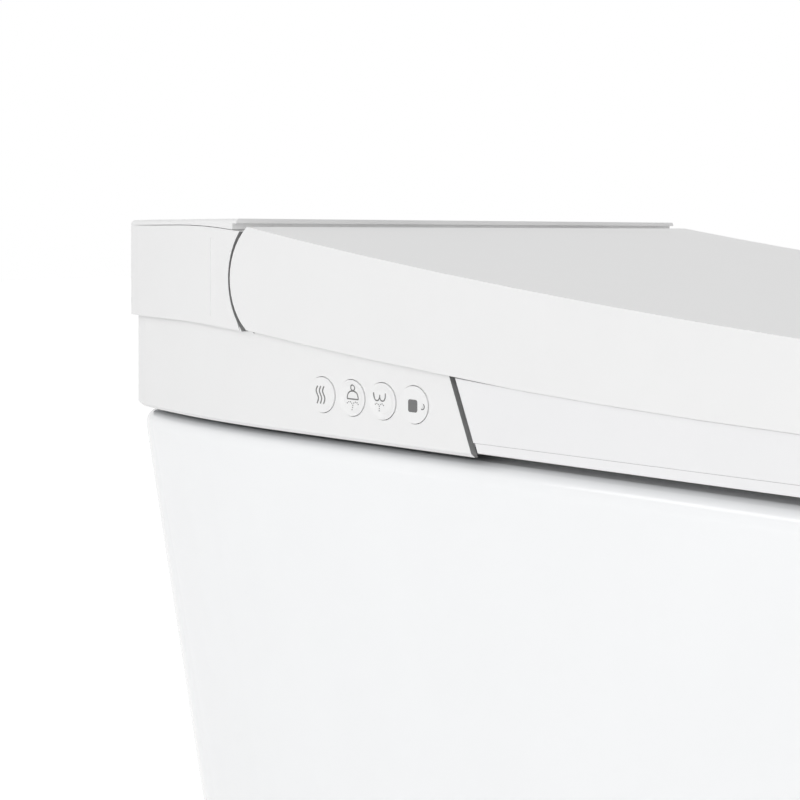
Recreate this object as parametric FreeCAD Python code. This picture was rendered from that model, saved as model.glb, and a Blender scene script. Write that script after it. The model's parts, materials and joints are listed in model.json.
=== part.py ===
import FreeCAD, Part
import math
import os

# A one-piece smart toilet with a heated seat, in millimetres.
# X runs across it, +Y points to the wall behind it, +Z is up. The origin is on the floor, under the middle.
# The sitter faces -Y, so the side with the push buttons, the sitter's right, is -X.

V = FreeCAD.Vector
X_AXIS = V(1, 0, 0)
Y_AXIS = V(0, 1, 0)
Z_AXIS = V(0, 0, 1)
REACH = 900.0  # longer than the whole object: the size of cutting blocks

# --- overall envelope
overall_length = 700.0
overall_width = 400.0
overall_height = 500.0
rear_y = overall_length / 2
front_y = -overall_length / 2
side_x = overall_width / 2

# --- ceramic body
rim_z = overall_height - 102.0
rim_round = 7.0  # the rim turns over in two steps
rim_ease = 2.2
china_wall = 11.0
deck_thickness = 16.0
skirt_inset = 3.0  # how far the china stands inside the lower housing
floor_half_width = side_x - 63.0
floor_front_y = front_y + 98.0
floor_nose_radius = 84.0
floor_corner_radius = 95.0
floor_straight_end_y = front_y + 320.0
bowl_half_width = side_x - 82.0
bowl_rear_y = rear_y - 270.0
bowl_front_y = front_y + 60.0
bowl_funnel_z = rim_z - 63.0  # below this the bowl's sides turn in
bowl_foot_half_width = 30.0
bowl_slope_z = rim_z - 48.0
sump_z = 95.0
sump_top_z = 165.0
sump_rear_y = rear_y - 408.0
sump_front_y = rear_y - 485.0
trap_bore_radius = 27.0
trap_wall = 10.0
trap_bend_radius = 45.0
trap_weir_radius = 40.0
trap_rise_deg = 65.0
sump_y = rear_y - 420.0
trap_lead_in = 20.0
outlet_y = rear_y - 290.0
outlet_socket_radius = 30.0
outlet_socket_depth = 45.0
service_width = 130.0
service_height = 150.0
service_front_y = rear_y - 60.0
cavity_half_width = side_x - 75.0
cavity_front_y = rear_y - 232.0
cavity_rear_y = rear_y - 32.0
bay_front_y = rear_y - 335.0
bay_floor_z = rim_z - 28.0

# --- plan outlines shared by cap, housing and china
corner_radius = 48.0
side_bow_radius = 490.0
side_bow_start_y = rear_y - 155.0
short_arc_deg = 20.0  # an arc over this is divided into the larger number of pieces
arc_pieces = (2, 6)

# --- electronic unit
unit_gap = 3.0  # height of the soft pads between china and unit
unit_z = rim_z + unit_gap
housing_inset = 4.0
housing_wall = 3.5
housing_bottom_bevel = 1.6
housing_top_z = overall_height - 47.0
housing_front_top_y = rear_y - 258.3
housing_front_top_z = overall_height - 65.0
housing_front_foot_y = rear_y - 271.2
base_thickness = 3.0
base_z = unit_z + base_thickness
cover_fit = 0.2
panel_relief_y = rear_y - 138.5
panel_rise = 1.0
panel_gap = 0.7
deck_thick = 3.0
deck_drop = 4.0
deck_behind = 4.0
deck_rear_y = rear_y - 124.0
fan_eye_radius = 6.0
wand_slot_half = 22.0
motor_slot_x = 31.0
wand_slot_front_y = rear_y - 255.0
wand_slot_rear_y = rear_y - 110.0

# --- rear cap and top plate
cap_wall = 3.0
cap_top_z = overall_height - 3.0
cap_nose_top_z = overall_height - 6.2
cap_top_fall_y = rear_y - 80.0
cap_bottom_z = overall_height - 50.4
cap_nose_bottom_z = overall_height - 53.5
cap_bottom_fall_y = rear_y - 66.0
cap_split_z = overall_height - 30.0  # a level between the cap's two curved faces, where their blocks meet
cap_rib = 3.0
cap_rib_x = 90.0
cap_rib_y = 110.5
plate_seam = 0.3
plate_edge_round = 2.4
plate_lip_y = rear_y - 129.5
plate_lip_height = 2.3
plate_lip_depth = 2.8
plate_back_slope = 2.7

# --- lid
lid_corner_y = rear_y - 138.0
lid_corner_z = overall_height - 4.0
hinge_behind_corner = 18.8
lid_slope_rear = 0.178
lid_slope_front = 0.018
lid_straight_end_y = front_y + 284.0
lid_nose_radius = 130.0
lid_wall = 3.2
lid_edge_round = 1.6
lid_flat_z = overall_height - 75.6
lid_flat_from = overall_length - 335.0  # distance forward of the rear corner where the lower edge turns level
lid_lower_rise = 22.7
lid_bumper_spots = ((80.0, 150.0), (50.0, 190.0))  # in from the side, back from the front
liner_rise = 3.0
liner_thickness = 2.5

# --- hinge line of lid and seat
hinge_y = lid_corner_y - hinge_behind_corner
liner_rear_y = hinge_y - 25.2
channel_rear_y = hinge_y - 3.2
hinge_z = overall_height - 28.7
barrel_radius = 31.1
recess_gap = 2.4
inner_barrel_half = side_x - 8.5
hub_radius = 12.0
pin_radius = 5.0
running_fit = 0.05
arm_in = 60.0
arm_out = 83.0
post_in = 86.0
post_out = 122.0
boss_out = 140.0
hub_gap = 0.5
post_round = 13.0
damper_radius = 10.0
slot_in = 57.0
bore_depth = 24.0
channel_wall = 1.2
channel_floor_z = overall_height - 84.0
arm_clearance = 1.5

# --- seat
seat_side_inset = 2.0
seat_bottom_z = rim_z + 5.4
seat_lid_gap = 0.8
seat_parting_z = rim_z + 9.6
seat_parting_gap = 0.3
seat_skin = 3.0
seat_ceiling_z = rim_z + 15.0
seat_behind_gap = 4.5
seat_half_opening = side_x - 92.0
seat_opening_rear_y = rear_y - 325.0
seat_opening_front_y = front_y + 75.0
seat_dish_edge_z = rim_z + 18.0
seat_dish_slope = 0.2
heater_margin = 12.0
heater_thickness = 0.8
seat_strip_step = 0.8
seat_bumper_spots = ((45.0, 250.0), (130.0, 55.0))  # in from the side, back from the front
arm_thickness = 14.0
arm_floor_z = rim_z + 21.0
arm_root_y = rear_y - 277.0
arm_leg_rear_y = hinge_y - 8.2
bumper_half = 7.0

# --- push buttons
button_radius = 8.0
button_hole_gap = 0.3
button_pitch = 18.35
button_first_y = rear_y - 184.4
button_z = rim_z + 22.2
button_proud = 0.6
button_face_thickness = 4.2
button_flange_half = 8.6
button_flange_thickness = 1.2
button_travel = 1.2
plunger_half = 2.6
plunger_length = 5.7
stop_dot_radius = 1.0
stop_dot_ahead = 4.9
button_dish_depth = 0.7
frame_x = -side_x + 10.5
frame_margin = 11.0
board_x = -side_x + 15.7
board_thickness = 1.6
membrane_thickness = 1.0

# --- wash wand and its drive
wand_tilt_deg = 18.0
wand_exit_y = rear_y - 268.0
wand_exit_z = rim_z - 15.0
wand_radius = 8.5
wand_length = 250.0
wand_flat = 7.0
wand_gap = 0.4
tip_length = 14.0
tip_setback = 1.0
tip_bevel = 1.5
nozzle_radius = 1.1
gear_module = 1.2
pinion_teeth = 18
rack_teeth = 31
pressure_deg = 20.0
tooth_backlash = 0.14
rack_width = 6.0
rack_pitch_drop = 12.0
pinion_width = 7.0
rack_start = 132.0
rack_root = 1.5
tooth_addendum = 1.0
tooth_dedendum = 1.35
pinion_rack_tooth = 1
motor_radius = 14.0
motor_length = 18.0
cradle_in = 8.9
cradle_start = 20.0
cradle_end = 262.0
cradle_low = -14.0
cradle_leg_y = rear_y - 94.0
cradle_leg_top = rim_z + 38.0
cradle_tab_y = rear_y - 198.0
cradle_tab_x = 36.0
bezel_y = rear_y - 266.0
bezel_thickness = 3.0
motor_shaft_radius = 2.5
cradle_cheek = 3.0

# --- dryer
fan_x = -63.0
fan_y = rear_y - 92.0
fan_radius = 40.0
fan_depth = 32.0
fan_wall = 2.0
impeller_radius = 33.0
impeller_hub_radius = 9.0
impeller_blades = 14
blade_thickness = 1.4
duct_in = 46.0
duct_out = 80.0
bay_half_width = duct_out + 10.0
duct_height = 18.0
duct_wall = 1.6
grille_slots = 7
grille_pitch = 4.4
fan_inlet_radius = 20.0
fan_motor_height = 26.0
impeller_blade_start = 20.0
blade_rake_deg = 35.0

# --- water path and fixings
hose_radius = 4.0
hose_gap = 0.5
flush_hose_radius = 9.0
inlet_thread_radius = 10.48
inlet_thread_length = 13.5
thread_relief = 0.5
thread_undercut = 0.6
fitting_flats = 27.0
fitting_flange = 5.0
fitting_gap = 0.1
gland_nut = 6.0
service_plate_thickness = 2.5
bracket_length = 36.0
bracket_foot = 39.0
bracket_sole = 6.0
bracket_wall = 8.0
bracket_height = 40.0
bolt_end = 4.0
skirt_bolt_head = 3.5
gland_bore = 4.0
bolt_radius = 4.0
bolt_clearance = 0.5
bolt_flats = 13.0
bracket_out = side_x - 76.0
floor_bolt_half_spacing = bracket_out - 24.0
floor_bolt_hole_radius = 4.5
foot_half = 4.0
foot_height = 10.0
foot_spots = ((16.0, 255.0), (22.0, 135.0))  # in from the side, forward of the rear
filter_y = rear_y - 38.0
valve_place = (-60.0, -30.0, 28.0, 58.0, 26.0)  # blocks: ends across, back and front from the rear, height
heater_place = (side_x - 160.0, side_x - 70.0, 70.0, 116.0, 40.0)
diverter_place = (side_x - 138.0, side_x - 110.0, 24.0, 54.0, 24.0)
cartridge_place = (side_x - 68.0, side_x - 36.0, 34.0, 62.0, 30.0)
board_place = (-side_x + 45.0, -side_x + 105.0, 22.0, 62.0, 8.0)
supply_place = (-side_x + 30.0, -side_x + 95.0, 70.0, 116.0, 30.0)
filter_radius = 11.0
filter_height = 30.0
board_post_half = 3.0
board_post_in = 5.0
hose_height = 14.0
hose_bend = 10.0
cold_turn_x = side_x - 150.0
warm_turn_x = side_x - 90.0
warm_bend = 8.0
supply_bend = 12.0
tank_x0 = -10.0
tank_length = 120.0
tank_back = 34.0
tank_ahead = 108.0
pump_y = rear_y - 72.0
pump_height = 50.0
flush_turn = 190.0
flush_bend = 25.0
flush_into_wall = 10.0
tank_z = rim_z - 198.0
pump_radius = 25.0
flush_x = 50.0
flush_z = rim_z - 41.0
inlet_x = 45.0
inlet_z = 110.0
service_plate_y = rear_y - 20.5
service_plate_z = 62.0
supply_hose_y = rear_y - 45.0
unit_bolt_x = side_x - 45.0
unit_bolt_y = rear_y - 200.0
floor_bracket_y = floor_straight_end_y + 10.0
skirt_bolt_z = 22.0
skirt_bolt_start_x = bracket_out - 34.0


# ---------------------------------------------------------------- helpers


def box(x0, x1, y0, y1, z0, z1):
    return Part.makeBox(x1 - x0, y1 - y0, z1 - z0, V(x0, y0, z0))


def rod(radius, start, axis, length):
    return Part.makeCylinder(radius, length, start, axis)


def mirrored(spots, end_y, towards):
    """Places on both sides, from distances in from the side and along from one end."""
    return [(side * (side_x - x), end_y + towards * y) for x, y in spots for side in (-1, 1)]


def joined(shapes):
    first = shapes[0]
    for other in shapes[1:]:
        first = first.fuse(other)
    return first.removeSplitter()


def save(name, shape):
    shape.exportStep(f"parts/{name}.step")


def arc_edge(centre, radius, from_deg, to_deg, z):
    points = []
    for turn in (from_deg, (from_deg + to_deg) / 2, to_deg):
        a = math.radians(turn)
        points.append(V(centre[0] + radius * math.cos(a), centre[1] + radius * math.sin(a), z))
    return Part.Arc(*points).toShape()


def line_edge(x0, y0, x1, y1, z):
    return Part.LineSegment(V(x0, y0, z), V(x1, y1, z)).toShape()


def nose_edges(half_width, straight_end_y, tip_y, nose_radius, z):
    """The front of a plan outline: a large arc down each side, and one nose arc across the middle."""
    depth = straight_end_y - tip_y
    side = ((depth - nose_radius) ** 2 / (half_width - nose_radius) + nose_radius + half_width) / 2
    turn = math.degrees(math.acos((side - half_width) / (side - nose_radius)))
    return [
        arc_edge((side - half_width, straight_end_y), side, 180, 180 + turn, z),
        arc_edge((0, tip_y + nose_radius), nose_radius, 180 + turn, 360 - turn, z),
        arc_edge((half_width - side, straight_end_y), side, 360 - turn, 360, z),
    ]


def front_outline(half_width, back_y, straight_end_y, tip_y, nose_radius, z):
    """A plan face with a square back and a round nose, for the lid and the seat."""
    edges = nose_edges(half_width, straight_end_y, tip_y, nose_radius, z)
    edges.append(line_edge(half_width, straight_end_y, half_width, back_y, z))
    edges.append(line_edge(half_width, back_y, -half_width, back_y, z))
    edges.append(line_edge(-half_width, back_y, -half_width, straight_end_y, z))
    return Part.Face(Part.Wire(edges))


def body_edges(half_width, back_y, corner, straight_end_y, tip_y, nose_radius, z):
    """The full plan outline: bowed rear sides, rounded rear corners, a flat back and a round nose."""
    bow_x = half_width - side_bow_radius
    corner_y = back_y - corner
    run = side_bow_radius - corner
    corner_x = bow_x + math.sqrt(run**2 - (corner_y - side_bow_start_y) ** 2)
    turn = math.degrees(math.asin((corner_y - side_bow_start_y) / run))
    edges = [line_edge(half_width, straight_end_y, half_width, side_bow_start_y, z)]
    edges.append(arc_edge((bow_x, side_bow_start_y), side_bow_radius, 0, turn, z))
    edges.append(arc_edge((corner_x, corner_y), corner, turn, 90, z))
    edges.append(line_edge(corner_x, back_y, -corner_x, back_y, z))
    edges.append(arc_edge((-corner_x, corner_y), corner, 90, 180 - turn, z))
    edges.append(arc_edge((-bow_x, side_bow_start_y), side_bow_radius, 180 - turn, 180, z))
    edges.append(line_edge(-half_width, side_bow_start_y, -half_width, straight_end_y, z))
    return edges + nose_edges(half_width, straight_end_y, tip_y, nose_radius, z)


def unit_prism(inset, z0, z1):
    """A prism on the cap's own plan outline, moved in by an inset."""
    half = side_x - inset
    edges = body_edges(half, rear_y - inset, corner_radius - inset, lid_straight_end_y,
                       front_y + inset, lid_nose_radius - inset, z0)
    return Part.Face(Part.Wire(edges)).extrude(V(0, 0, z1 - z0))


def yz_point(y, z, x):
    return V(x, y, z)


def yz_polygon(points, x0, x1):
    """A prism across X on a polygon given as (y, z) points."""
    ring = [yz_point(y, z, x0) for y, z in points]
    ring.append(ring[0])
    return Part.Face(Part.makePolygon(ring)).extrude(V(x1 - x0, 0, 0))


def yz_curve(height, y0, y1, x):
    """An arc over a stretch of Y through three points of a height function."""
    middle = (y0 + y1) / 2
    return Part.Arc(*[yz_point(y, height(y), x) for y in (y0, middle, y1)]).toShape()


def yz_line(y0, z0, y1, z1, x):
    return Part.LineSegment(yz_point(y0, z0, x), yz_point(y1, z1, x)).toShape()


def lid_top(y):
    """Height of the lid's top along its length: steep behind, nearly level in front."""
    forward = lid_corner_y - y
    length = lid_corner_y - front_y
    easing = (lid_slope_rear - lid_slope_front) / (2 * length)
    return lid_corner_z - lid_slope_rear * forward + easing * forward**2


def lid_under(y):
    """Height of the lid's lower edge behind the place where it turns level."""
    forward = lid_corner_y - y
    return lid_flat_z + lid_lower_rise * ((lid_flat_from - forward) / lid_flat_from) ** 2


def below_lid(shift, half_width):
    """Everything under the lid's lower edge, moved up by a shift."""
    flat_y = lid_corner_y - lid_flat_from
    back = lid_corner_y + 30
    x = -half_width
    edges = [
        yz_curve(lambda y: lid_under(y) + shift, flat_y, back, x),
        yz_line(back, lid_under(back) + shift, back, 0, x),
        yz_line(back, 0, -REACH, 0, x),
        yz_line(-REACH, 0, -REACH, lid_flat_z + shift, x),
        yz_line(-REACH, lid_flat_z + shift, flat_y, lid_flat_z + shift, x),
    ]
    return Part.Face(Part.Wire(edges)).extrude(V(2 * half_width, 0, 0))


def below_lid_top(drop, half_width):
    """Everything under the lid's top surface, lowered by a drop."""
    back = lid_corner_y + 40
    x = -half_width
    edges = [
        yz_curve(lambda y: lid_top(y) - drop, front_y - 20, back, x),
        yz_line(back, lid_top(back) - drop, back, 0, x),
        yz_line(back, 0, front_y - 20, 0, x),
        yz_line(front_y - 20, 0, front_y - 20, lid_top(front_y - 20) - drop, x),
    ]
    return Part.Face(Part.Wire(edges)).extrude(V(2 * half_width, 0, 0))


def hinge_cylinder(radius, x0, x1):
    return rod(radius, V(x0, hinge_y, hinge_z), X_AXIS, x1 - x0)


def outward(solid):
    """The same solid with its faces turned outwards."""
    return solid if solid.Volume > 0 else Part.Solid(solid.Shells[0].reversed())


def solid_from(faces):
    shell = Part.Shell(faces)
    shell.sewShape()
    return outward(Part.Solid(shell))


def edge_ends(edge):
    return edge.valueAt(edge.FirstParameter), edge.valueAt(edge.LastParameter)


def flat_face(*corners):
    return Part.Face(Part.makePolygon([*corners, corners[0]]))


def is_line(edge):
    return isinstance(edge.Curve, (Part.Line, Part.LineSegment))


def short_arcs(edges):
    """The same outline with each arc divided, so that a ruled face on it stays nearly flat."""
    result = []
    for edge in edges:
        if is_line(edge):
            result.append(edge)
            continue
        first = edge.FirstParameter
        span = edge.LastParameter - first
        count = arc_pieces[round(math.degrees(span)) > short_arc_deg]
        for i in range(count):
            piece = Part.ArcOfCircle(edge.Curve, first + span * i / count, first + span * (i + 1) / count)
            result.append(piece.toShape())
    return result


def tapered(*levels):
    """A solid through outlines with matching edges: flat faces between lines, ruled ones between arcs."""
    faces = [Part.Face(Part.Wire(levels[0])), Part.Face(Part.Wire(levels[-1]))]
    for lower, upper in zip(levels, levels[1:]):
        for below, above in zip(lower, upper):
            if is_line(below):
                start, end = edge_ends(below)
                upper_start, upper_end = edge_ends(above)
                faces.append(flat_face(start, end, upper_end, upper_start))
            else:
                faces.append(Part.makeRuledSurface(below, above))
    return solid_from(faces)


def tapered_flat(lower, upper):
    """The same between coarse outlines: only flat faces, for walls that nobody sees."""
    rings = []
    for edges in (lower, upper):
        ring = []
        for edge in edges:
            for share in (0.0,) if is_line(edge) else (0.0, 0.5):
                ring.append(edge.valueAt(edge.FirstParameter + share * (edge.LastParameter - edge.FirstParameter)))
        rings.append(ring)
    faces = [flat_face(*rings[0]), flat_face(*rings[1])]
    count = len(rings[0])
    for i in range(count):
        j = (i + 1) % count
        faces.append(flat_face(rings[0][i], rings[0][j], rings[1][j]))
        faces.append(flat_face(rings[0][i], rings[1][j], rings[1][i]))
    return solid_from(faces)


def oval(half_width, y_rear, y_front, z0, z1, flare=0.0):
    """An upright oval with round ends; flare is how much its half width grows from z0 to z1."""
    height = z1 - z0
    ends = []
    for y in (y_front + half_width, y_rear - half_width):
        if flare == 0:
            ends.append(Part.makeCylinder(half_width, height, V(0, y, z0)))
        else:
            ends.append(Part.makeCone(half_width, half_width + flare, height, V(0, y, z0)))
    wide = half_width + flare
    y = y_front + half_width
    section = flat_face(V(-half_width, y, z0), V(half_width, y, z0), V(wide, y, z1), V(-wide, y, z1))
    return joined(ends + [section.extrude(V(0, y_rear - y_front - 2 * half_width, 0))])


def hose_path(points, bend):
    """A route with each corner cut short, so that the hose turns in two mitred steps."""
    route = [points[0]]
    for before, corner, after in zip(points, points[1:], points[2:]):
        route.append(corner + (before - corner).normalize() * bend)
        route.append(corner + (after - corner).normalize() * bend)
    return route + [points[-1]]


def tube(points, bend, radius):
    route = hose_path(points, bend)
    ring = Part.Wire(Part.Circle(route[0], route[1] - route[0], radius).toShape())
    return Part.makePolygon(route).makePipeShell([ring], True, False, 1)


def hex_prism(across_flats, start, axis, length):
    """A bolt head or nut: six flats round an axis."""
    side_dir = Z_AXIS if abs(axis.z) < 0.5 else X_AXIS
    other = axis.cross(side_dir)
    reach = across_flats / math.sqrt(3)
    corners = []
    for i in range(6):
        a = math.radians(60 * i)
        corners.append(start + side_dir * (reach * math.cos(a)) + other * (reach * math.sin(a)))
    return flat_face(*corners).extrude(axis * length)


def panel_line(z):
    """Y of the housing's slanted front edge at a height."""
    slope = (housing_front_top_y - housing_front_foot_y) / (housing_front_top_z - unit_z)
    return housing_front_foot_y + slope * (z - unit_z)


def ahead_of_panel(gap):
    """Everything in front of the housing's slanted edge, less a gap."""
    low = 0.0
    high = 2 * overall_height
    corners = [(-REACH, low), (panel_line(low) - gap, low), (panel_line(high) - gap, high), (-REACH, high)]
    return yz_polygon(corners, -overall_width, overall_width)


# ---------------------------------------------------------------- ceramic body


def china_outline(inset, z):
    """Plan outline of the ceramic at a height: it narrows, shortens and rounds off towards the floor."""
    t = z / rim_z
    top_inset = housing_inset + skirt_inset
    top_half = side_x - top_inset
    top_corner = corner_radius - top_inset
    return body_edges(
        floor_half_width + (top_half - floor_half_width) * t - inset,
        rear_y - top_inset - inset,
        floor_corner_radius + (top_corner - floor_corner_radius) * t - inset,
        floor_straight_end_y + (lid_straight_end_y - floor_straight_end_y) * t,
        floor_front_y + (front_y + top_inset - floor_front_y) * t + inset,
        floor_nose_radius + (lid_nose_radius - floor_nose_radius) * t - inset,
        z,
    )


def bowl_form(wall):
    """The bowl: an upright oval wall, then a funnel between two slopes; its outside adds a wall."""
    foot_z = sump_z - trap_bore_radius - wall
    funnel_half = bowl_half_width + wall
    upright = oval(funnel_half, bowl_rear_y + wall, bowl_front_y - wall, bowl_funnel_z, rim_z)
    centre_span = bowl_half_width - bowl_foot_half_width
    funnel = oval(
        bowl_foot_half_width + wall,
        bowl_rear_y - centre_span + wall,
        bowl_front_y + centre_span - wall,
        foot_z,
        bowl_funnel_z,
        flare=centre_span,
    )
    slopes = yz_polygon(
        [
            (bowl_rear_y + wall, rim_z),
            (bowl_rear_y + wall, bowl_slope_z - wall),
            (sump_rear_y + wall, sump_top_z - wall),
            (sump_rear_y + wall, foot_z),
            (sump_front_y - wall, foot_z),
            (sump_front_y - wall, sump_top_z - wall),
            (bowl_front_y - wall, bowl_slope_z - wall),
            (bowl_front_y - wall, rim_z),
        ],
        -overall_width,
        overall_width,
    )
    return upright.fuse(funnel).removeSplitter().common(slopes)


def arc_corners(centre_y, centre_z, radius, from_deg, to_deg, count):
    """Corners of the straight runs that touch an arc from outside."""
    step = math.radians(to_deg - from_deg) / count
    reach = radius / math.cos(step / 2)
    corners = []
    for i in range(count):
        a = math.radians(from_deg) + (i + 0.5) * step
        corners.append(V(0, centre_y + reach * math.cos(a), centre_z + reach * math.sin(a)))
    return corners


def trap_tube(radius):
    """The trapway in short straight runs: from the sump, up over the weir and down to the floor."""
    rise = math.radians(trap_rise_deg)
    weir_y = outlet_y - trap_weir_radius
    climb_y = weir_y - trap_weir_radius * math.sin(rise)
    foot_y = sump_y - trap_bend_radius * math.tan(rise / 2)
    bend_end_y = foot_y + trap_bend_radius * math.sin(rise)
    bend_end_z = sump_z + trap_bend_radius * (1 - math.cos(rise))
    climb_z = bend_end_z + (climb_y - bend_end_y) * math.tan(rise)
    weir_z = climb_z - trap_weir_radius * math.cos(rise)
    start = V(0, (sump_rear_y + sump_front_y) / 2 - trap_lead_in, sump_z)
    points = [start]
    points += arc_corners(foot_y, sump_z + trap_bend_radius, trap_bend_radius, -90, trap_rise_deg - 90, 2)
    points += arc_corners(weir_y, weir_z, trap_weir_radius, trap_rise_deg + 90, 0, 4)
    points.append(V(0, outlet_y, 0))
    ring = Part.Wire(Part.Circle(start, Y_AXIS, radius).toShape())
    return Part.makePolygon(points).makePipeShell([ring], True, False, 1)


def ceramic_body():
    outer = tapered(
        short_arcs(china_outline(0, 0)),
        short_arcs(china_outline(0, rim_z - rim_round)),
        short_arcs(china_outline(rim_ease, rim_z - rim_ease)),
        short_arcs(china_outline(rim_round, rim_z)),
    )
    hollow = tapered_flat(china_outline(china_wall, 0), china_outline(china_wall, rim_z - deck_thickness))
    shell = outer.cut(hollow)
    shell = shell.fuse([bowl_form(china_wall), trap_tube(trap_bore_radius + trap_wall)])
    cavity_floor = rim_z - deck_thickness - 1
    cuts = [
        bowl_form(0),
        trap_tube(trap_bore_radius),
        rod(outlet_socket_radius, V(0, outlet_y, -1), Z_AXIS, outlet_socket_depth + 1),
        box(-service_width / 2, service_width / 2, service_front_y, REACH, -1, service_height),
        box(-bay_half_width, bay_half_width, bay_front_y, cavity_front_y, bay_floor_z, REACH),
        box(-cavity_half_width, cavity_half_width, cavity_front_y - 1, cavity_rear_y, cavity_floor, REACH),
    ]
    hole = bolt_radius + bolt_clearance
    for side in (-1, 1):
        cuts.append(rod(hole, V(side * unit_bolt_x, unit_bolt_y, cavity_floor), Z_AXIS, REACH))
        skirt_start = V(side * skirt_bolt_start_x, floor_bracket_y, skirt_bolt_z)
        cuts.append(rod(hole, skirt_start, V(side, 0, 0), REACH))
    return shell.cut(cuts).removeSplitter()


# ---------------------------------------------------------------- rear unit covers


def top_profile(nose_z, flat_z, fall_y, drop, to_z):
    """A block under (or over) the cap's top line: level behind, falling in an arc towards the recess."""
    nose_y = plate_lip_y - plate_lip_depth
    run = fall_y - nose_y

    def height(y):
        return flat_z - (flat_z - nose_z) * ((fall_y - y) / run) ** 2 - drop

    x = -overall_width
    edges = [
        yz_curve(height, nose_y, fall_y, x),
        yz_line(fall_y, flat_z - drop, rear_y + 5, flat_z - drop, x),
        yz_line(rear_y + 5, flat_z - drop, rear_y + 5, to_z, x),
        yz_line(rear_y + 5, to_z, nose_y, to_z, x),
        yz_line(nose_y, to_z, nose_y, nose_z - drop, x),
    ]
    return Part.Face(Part.Wire(edges)).extrude(V(2 * overall_width, 0, 0))


def rear_cap():
    nose_y = plate_lip_y - plate_lip_depth
    top = top_profile(cap_nose_top_z, cap_top_z, cap_top_fall_y, 0, cap_split_z)
    bottom = top_profile(cap_nose_bottom_z, cap_bottom_z, cap_bottom_fall_y, 0, cap_split_z)
    behind = box(-REACH, REACH, hinge_y + 10, nose_y, cap_nose_bottom_z, cap_nose_top_z)
    form = unit_prism(0, 0, overall_height).common(joined([top, bottom, behind]))
    recess = hinge_cylinder(barrel_radius + recess_gap, -REACH, REACH)
    room = unit_prism(cap_wall, 0, overall_height).common(
        top_profile(cap_nose_top_z, cap_top_z, cap_top_fall_y, cap_wall, 0)
    )
    room = room.cut(hinge_cylinder(barrel_radius + recess_gap + cap_wall, -REACH, REACH))
    fit = cover_fit
    rim = unit_prism(housing_inset - fit, 0, housing_top_z + fit)
    rim = rim.cut(unit_prism(housing_inset + housing_wall + fit, -1, overall_height))
    shell = form.cut([recess, room, rim])
    return joined([shell] + cap_ribs())


def cap_ribs():
    """Short ribs inside the cap that stand on the top edge of the lower housing."""
    ribs = []
    depth = housing_inset + housing_wall
    half = cap_rib / 2
    for x in (-cap_rib_x, cap_rib_x):
        ribs.append(box(x - half, x + half, rear_y - depth, rear_y - half, housing_top_z, cap_top_z - 1))
    y = rear_y - cap_rib_y
    for side in (-1, 1):
        edges = sorted((side * (side_x - half), side * (side_x - depth - 1)))
        ribs.append(box(*edges, y - half, y + half, housing_top_z, cap_nose_top_z - cap_wall))
    return ribs


def top_plate():
    blank = unit_prism(0, cap_split_z, overall_height)
    rim = [e for e in blank.Edges if all(abs(v.Z - overall_height) < 0.01 for v in e.Vertexes)]
    blank = blank.makeFillet(plate_edge_round, rim)
    over = top_profile(cap_nose_top_z, cap_top_z, cap_top_fall_y, -plate_seam, overall_height + 1)
    lip_z = overall_height - plate_lip_height
    face_y = plate_lip_y + plate_lip_depth
    front = yz_polygon(
        [
            (plate_lip_y, overall_height),
            (plate_lip_y, lip_z),
            (face_y, lip_z),
            (face_y + plate_back_slope, cap_split_z),
            (REACH, cap_split_z),
            (REACH, overall_height),
        ],
        -overall_width,
        overall_width,
    )
    return blank.common(over).common(front)


def lower_housing():
    blank = unit_prism(housing_inset, unit_z, housing_top_z)
    foot = [e for e in blank.Edges if all(abs(v.Z - unit_z) < 0.01 for v in e.Vertexes)]
    blank = blank.makeChamfer(housing_bottom_bevel, foot)
    inner = housing_inset + housing_wall
    shell = blank.cut(unit_prism(inner, 0, overall_height)).cut(ahead_of_panel(0))
    behind = box(-REACH, REACH, panel_relief_y, REACH, 0, overall_height)
    under = below_lid(panel_rise, overall_width).fuse(behind)
    relief = hinge_cylinder(barrel_radius + panel_gap, -REACH, REACH).common(behind)
    shell = shell.common(under).cut(relief)
    holes = []
    for i in range(4):
        holes.append(rod(button_radius + button_hole_gap, V(-REACH, button_y(i), button_z), X_AXIS, REACH))
    feet = [foot_block(x, y) for x, y in mirrored(foot_spots, rear_y, -1)]
    return joined([shell.cut(holes)] + feet)


def button_y(i):
    return button_first_y - i * button_pitch


def foot_block(x, y):
    """A block on the housing's inner wall that stands on the base plate and takes a screw from below."""
    side = 1 if x > 0 else -1
    wall_x = side_x - housing_inset - housing_wall / 2
    web = box(*sorted((x, side * wall_x)), y - 1.5, y + 1.5, base_z, base_z + foot_height)
    block = box(x - foot_half, x + foot_half, y - foot_half, y + foot_half, base_z, base_z + foot_height)
    return block.fuse(web)


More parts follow.
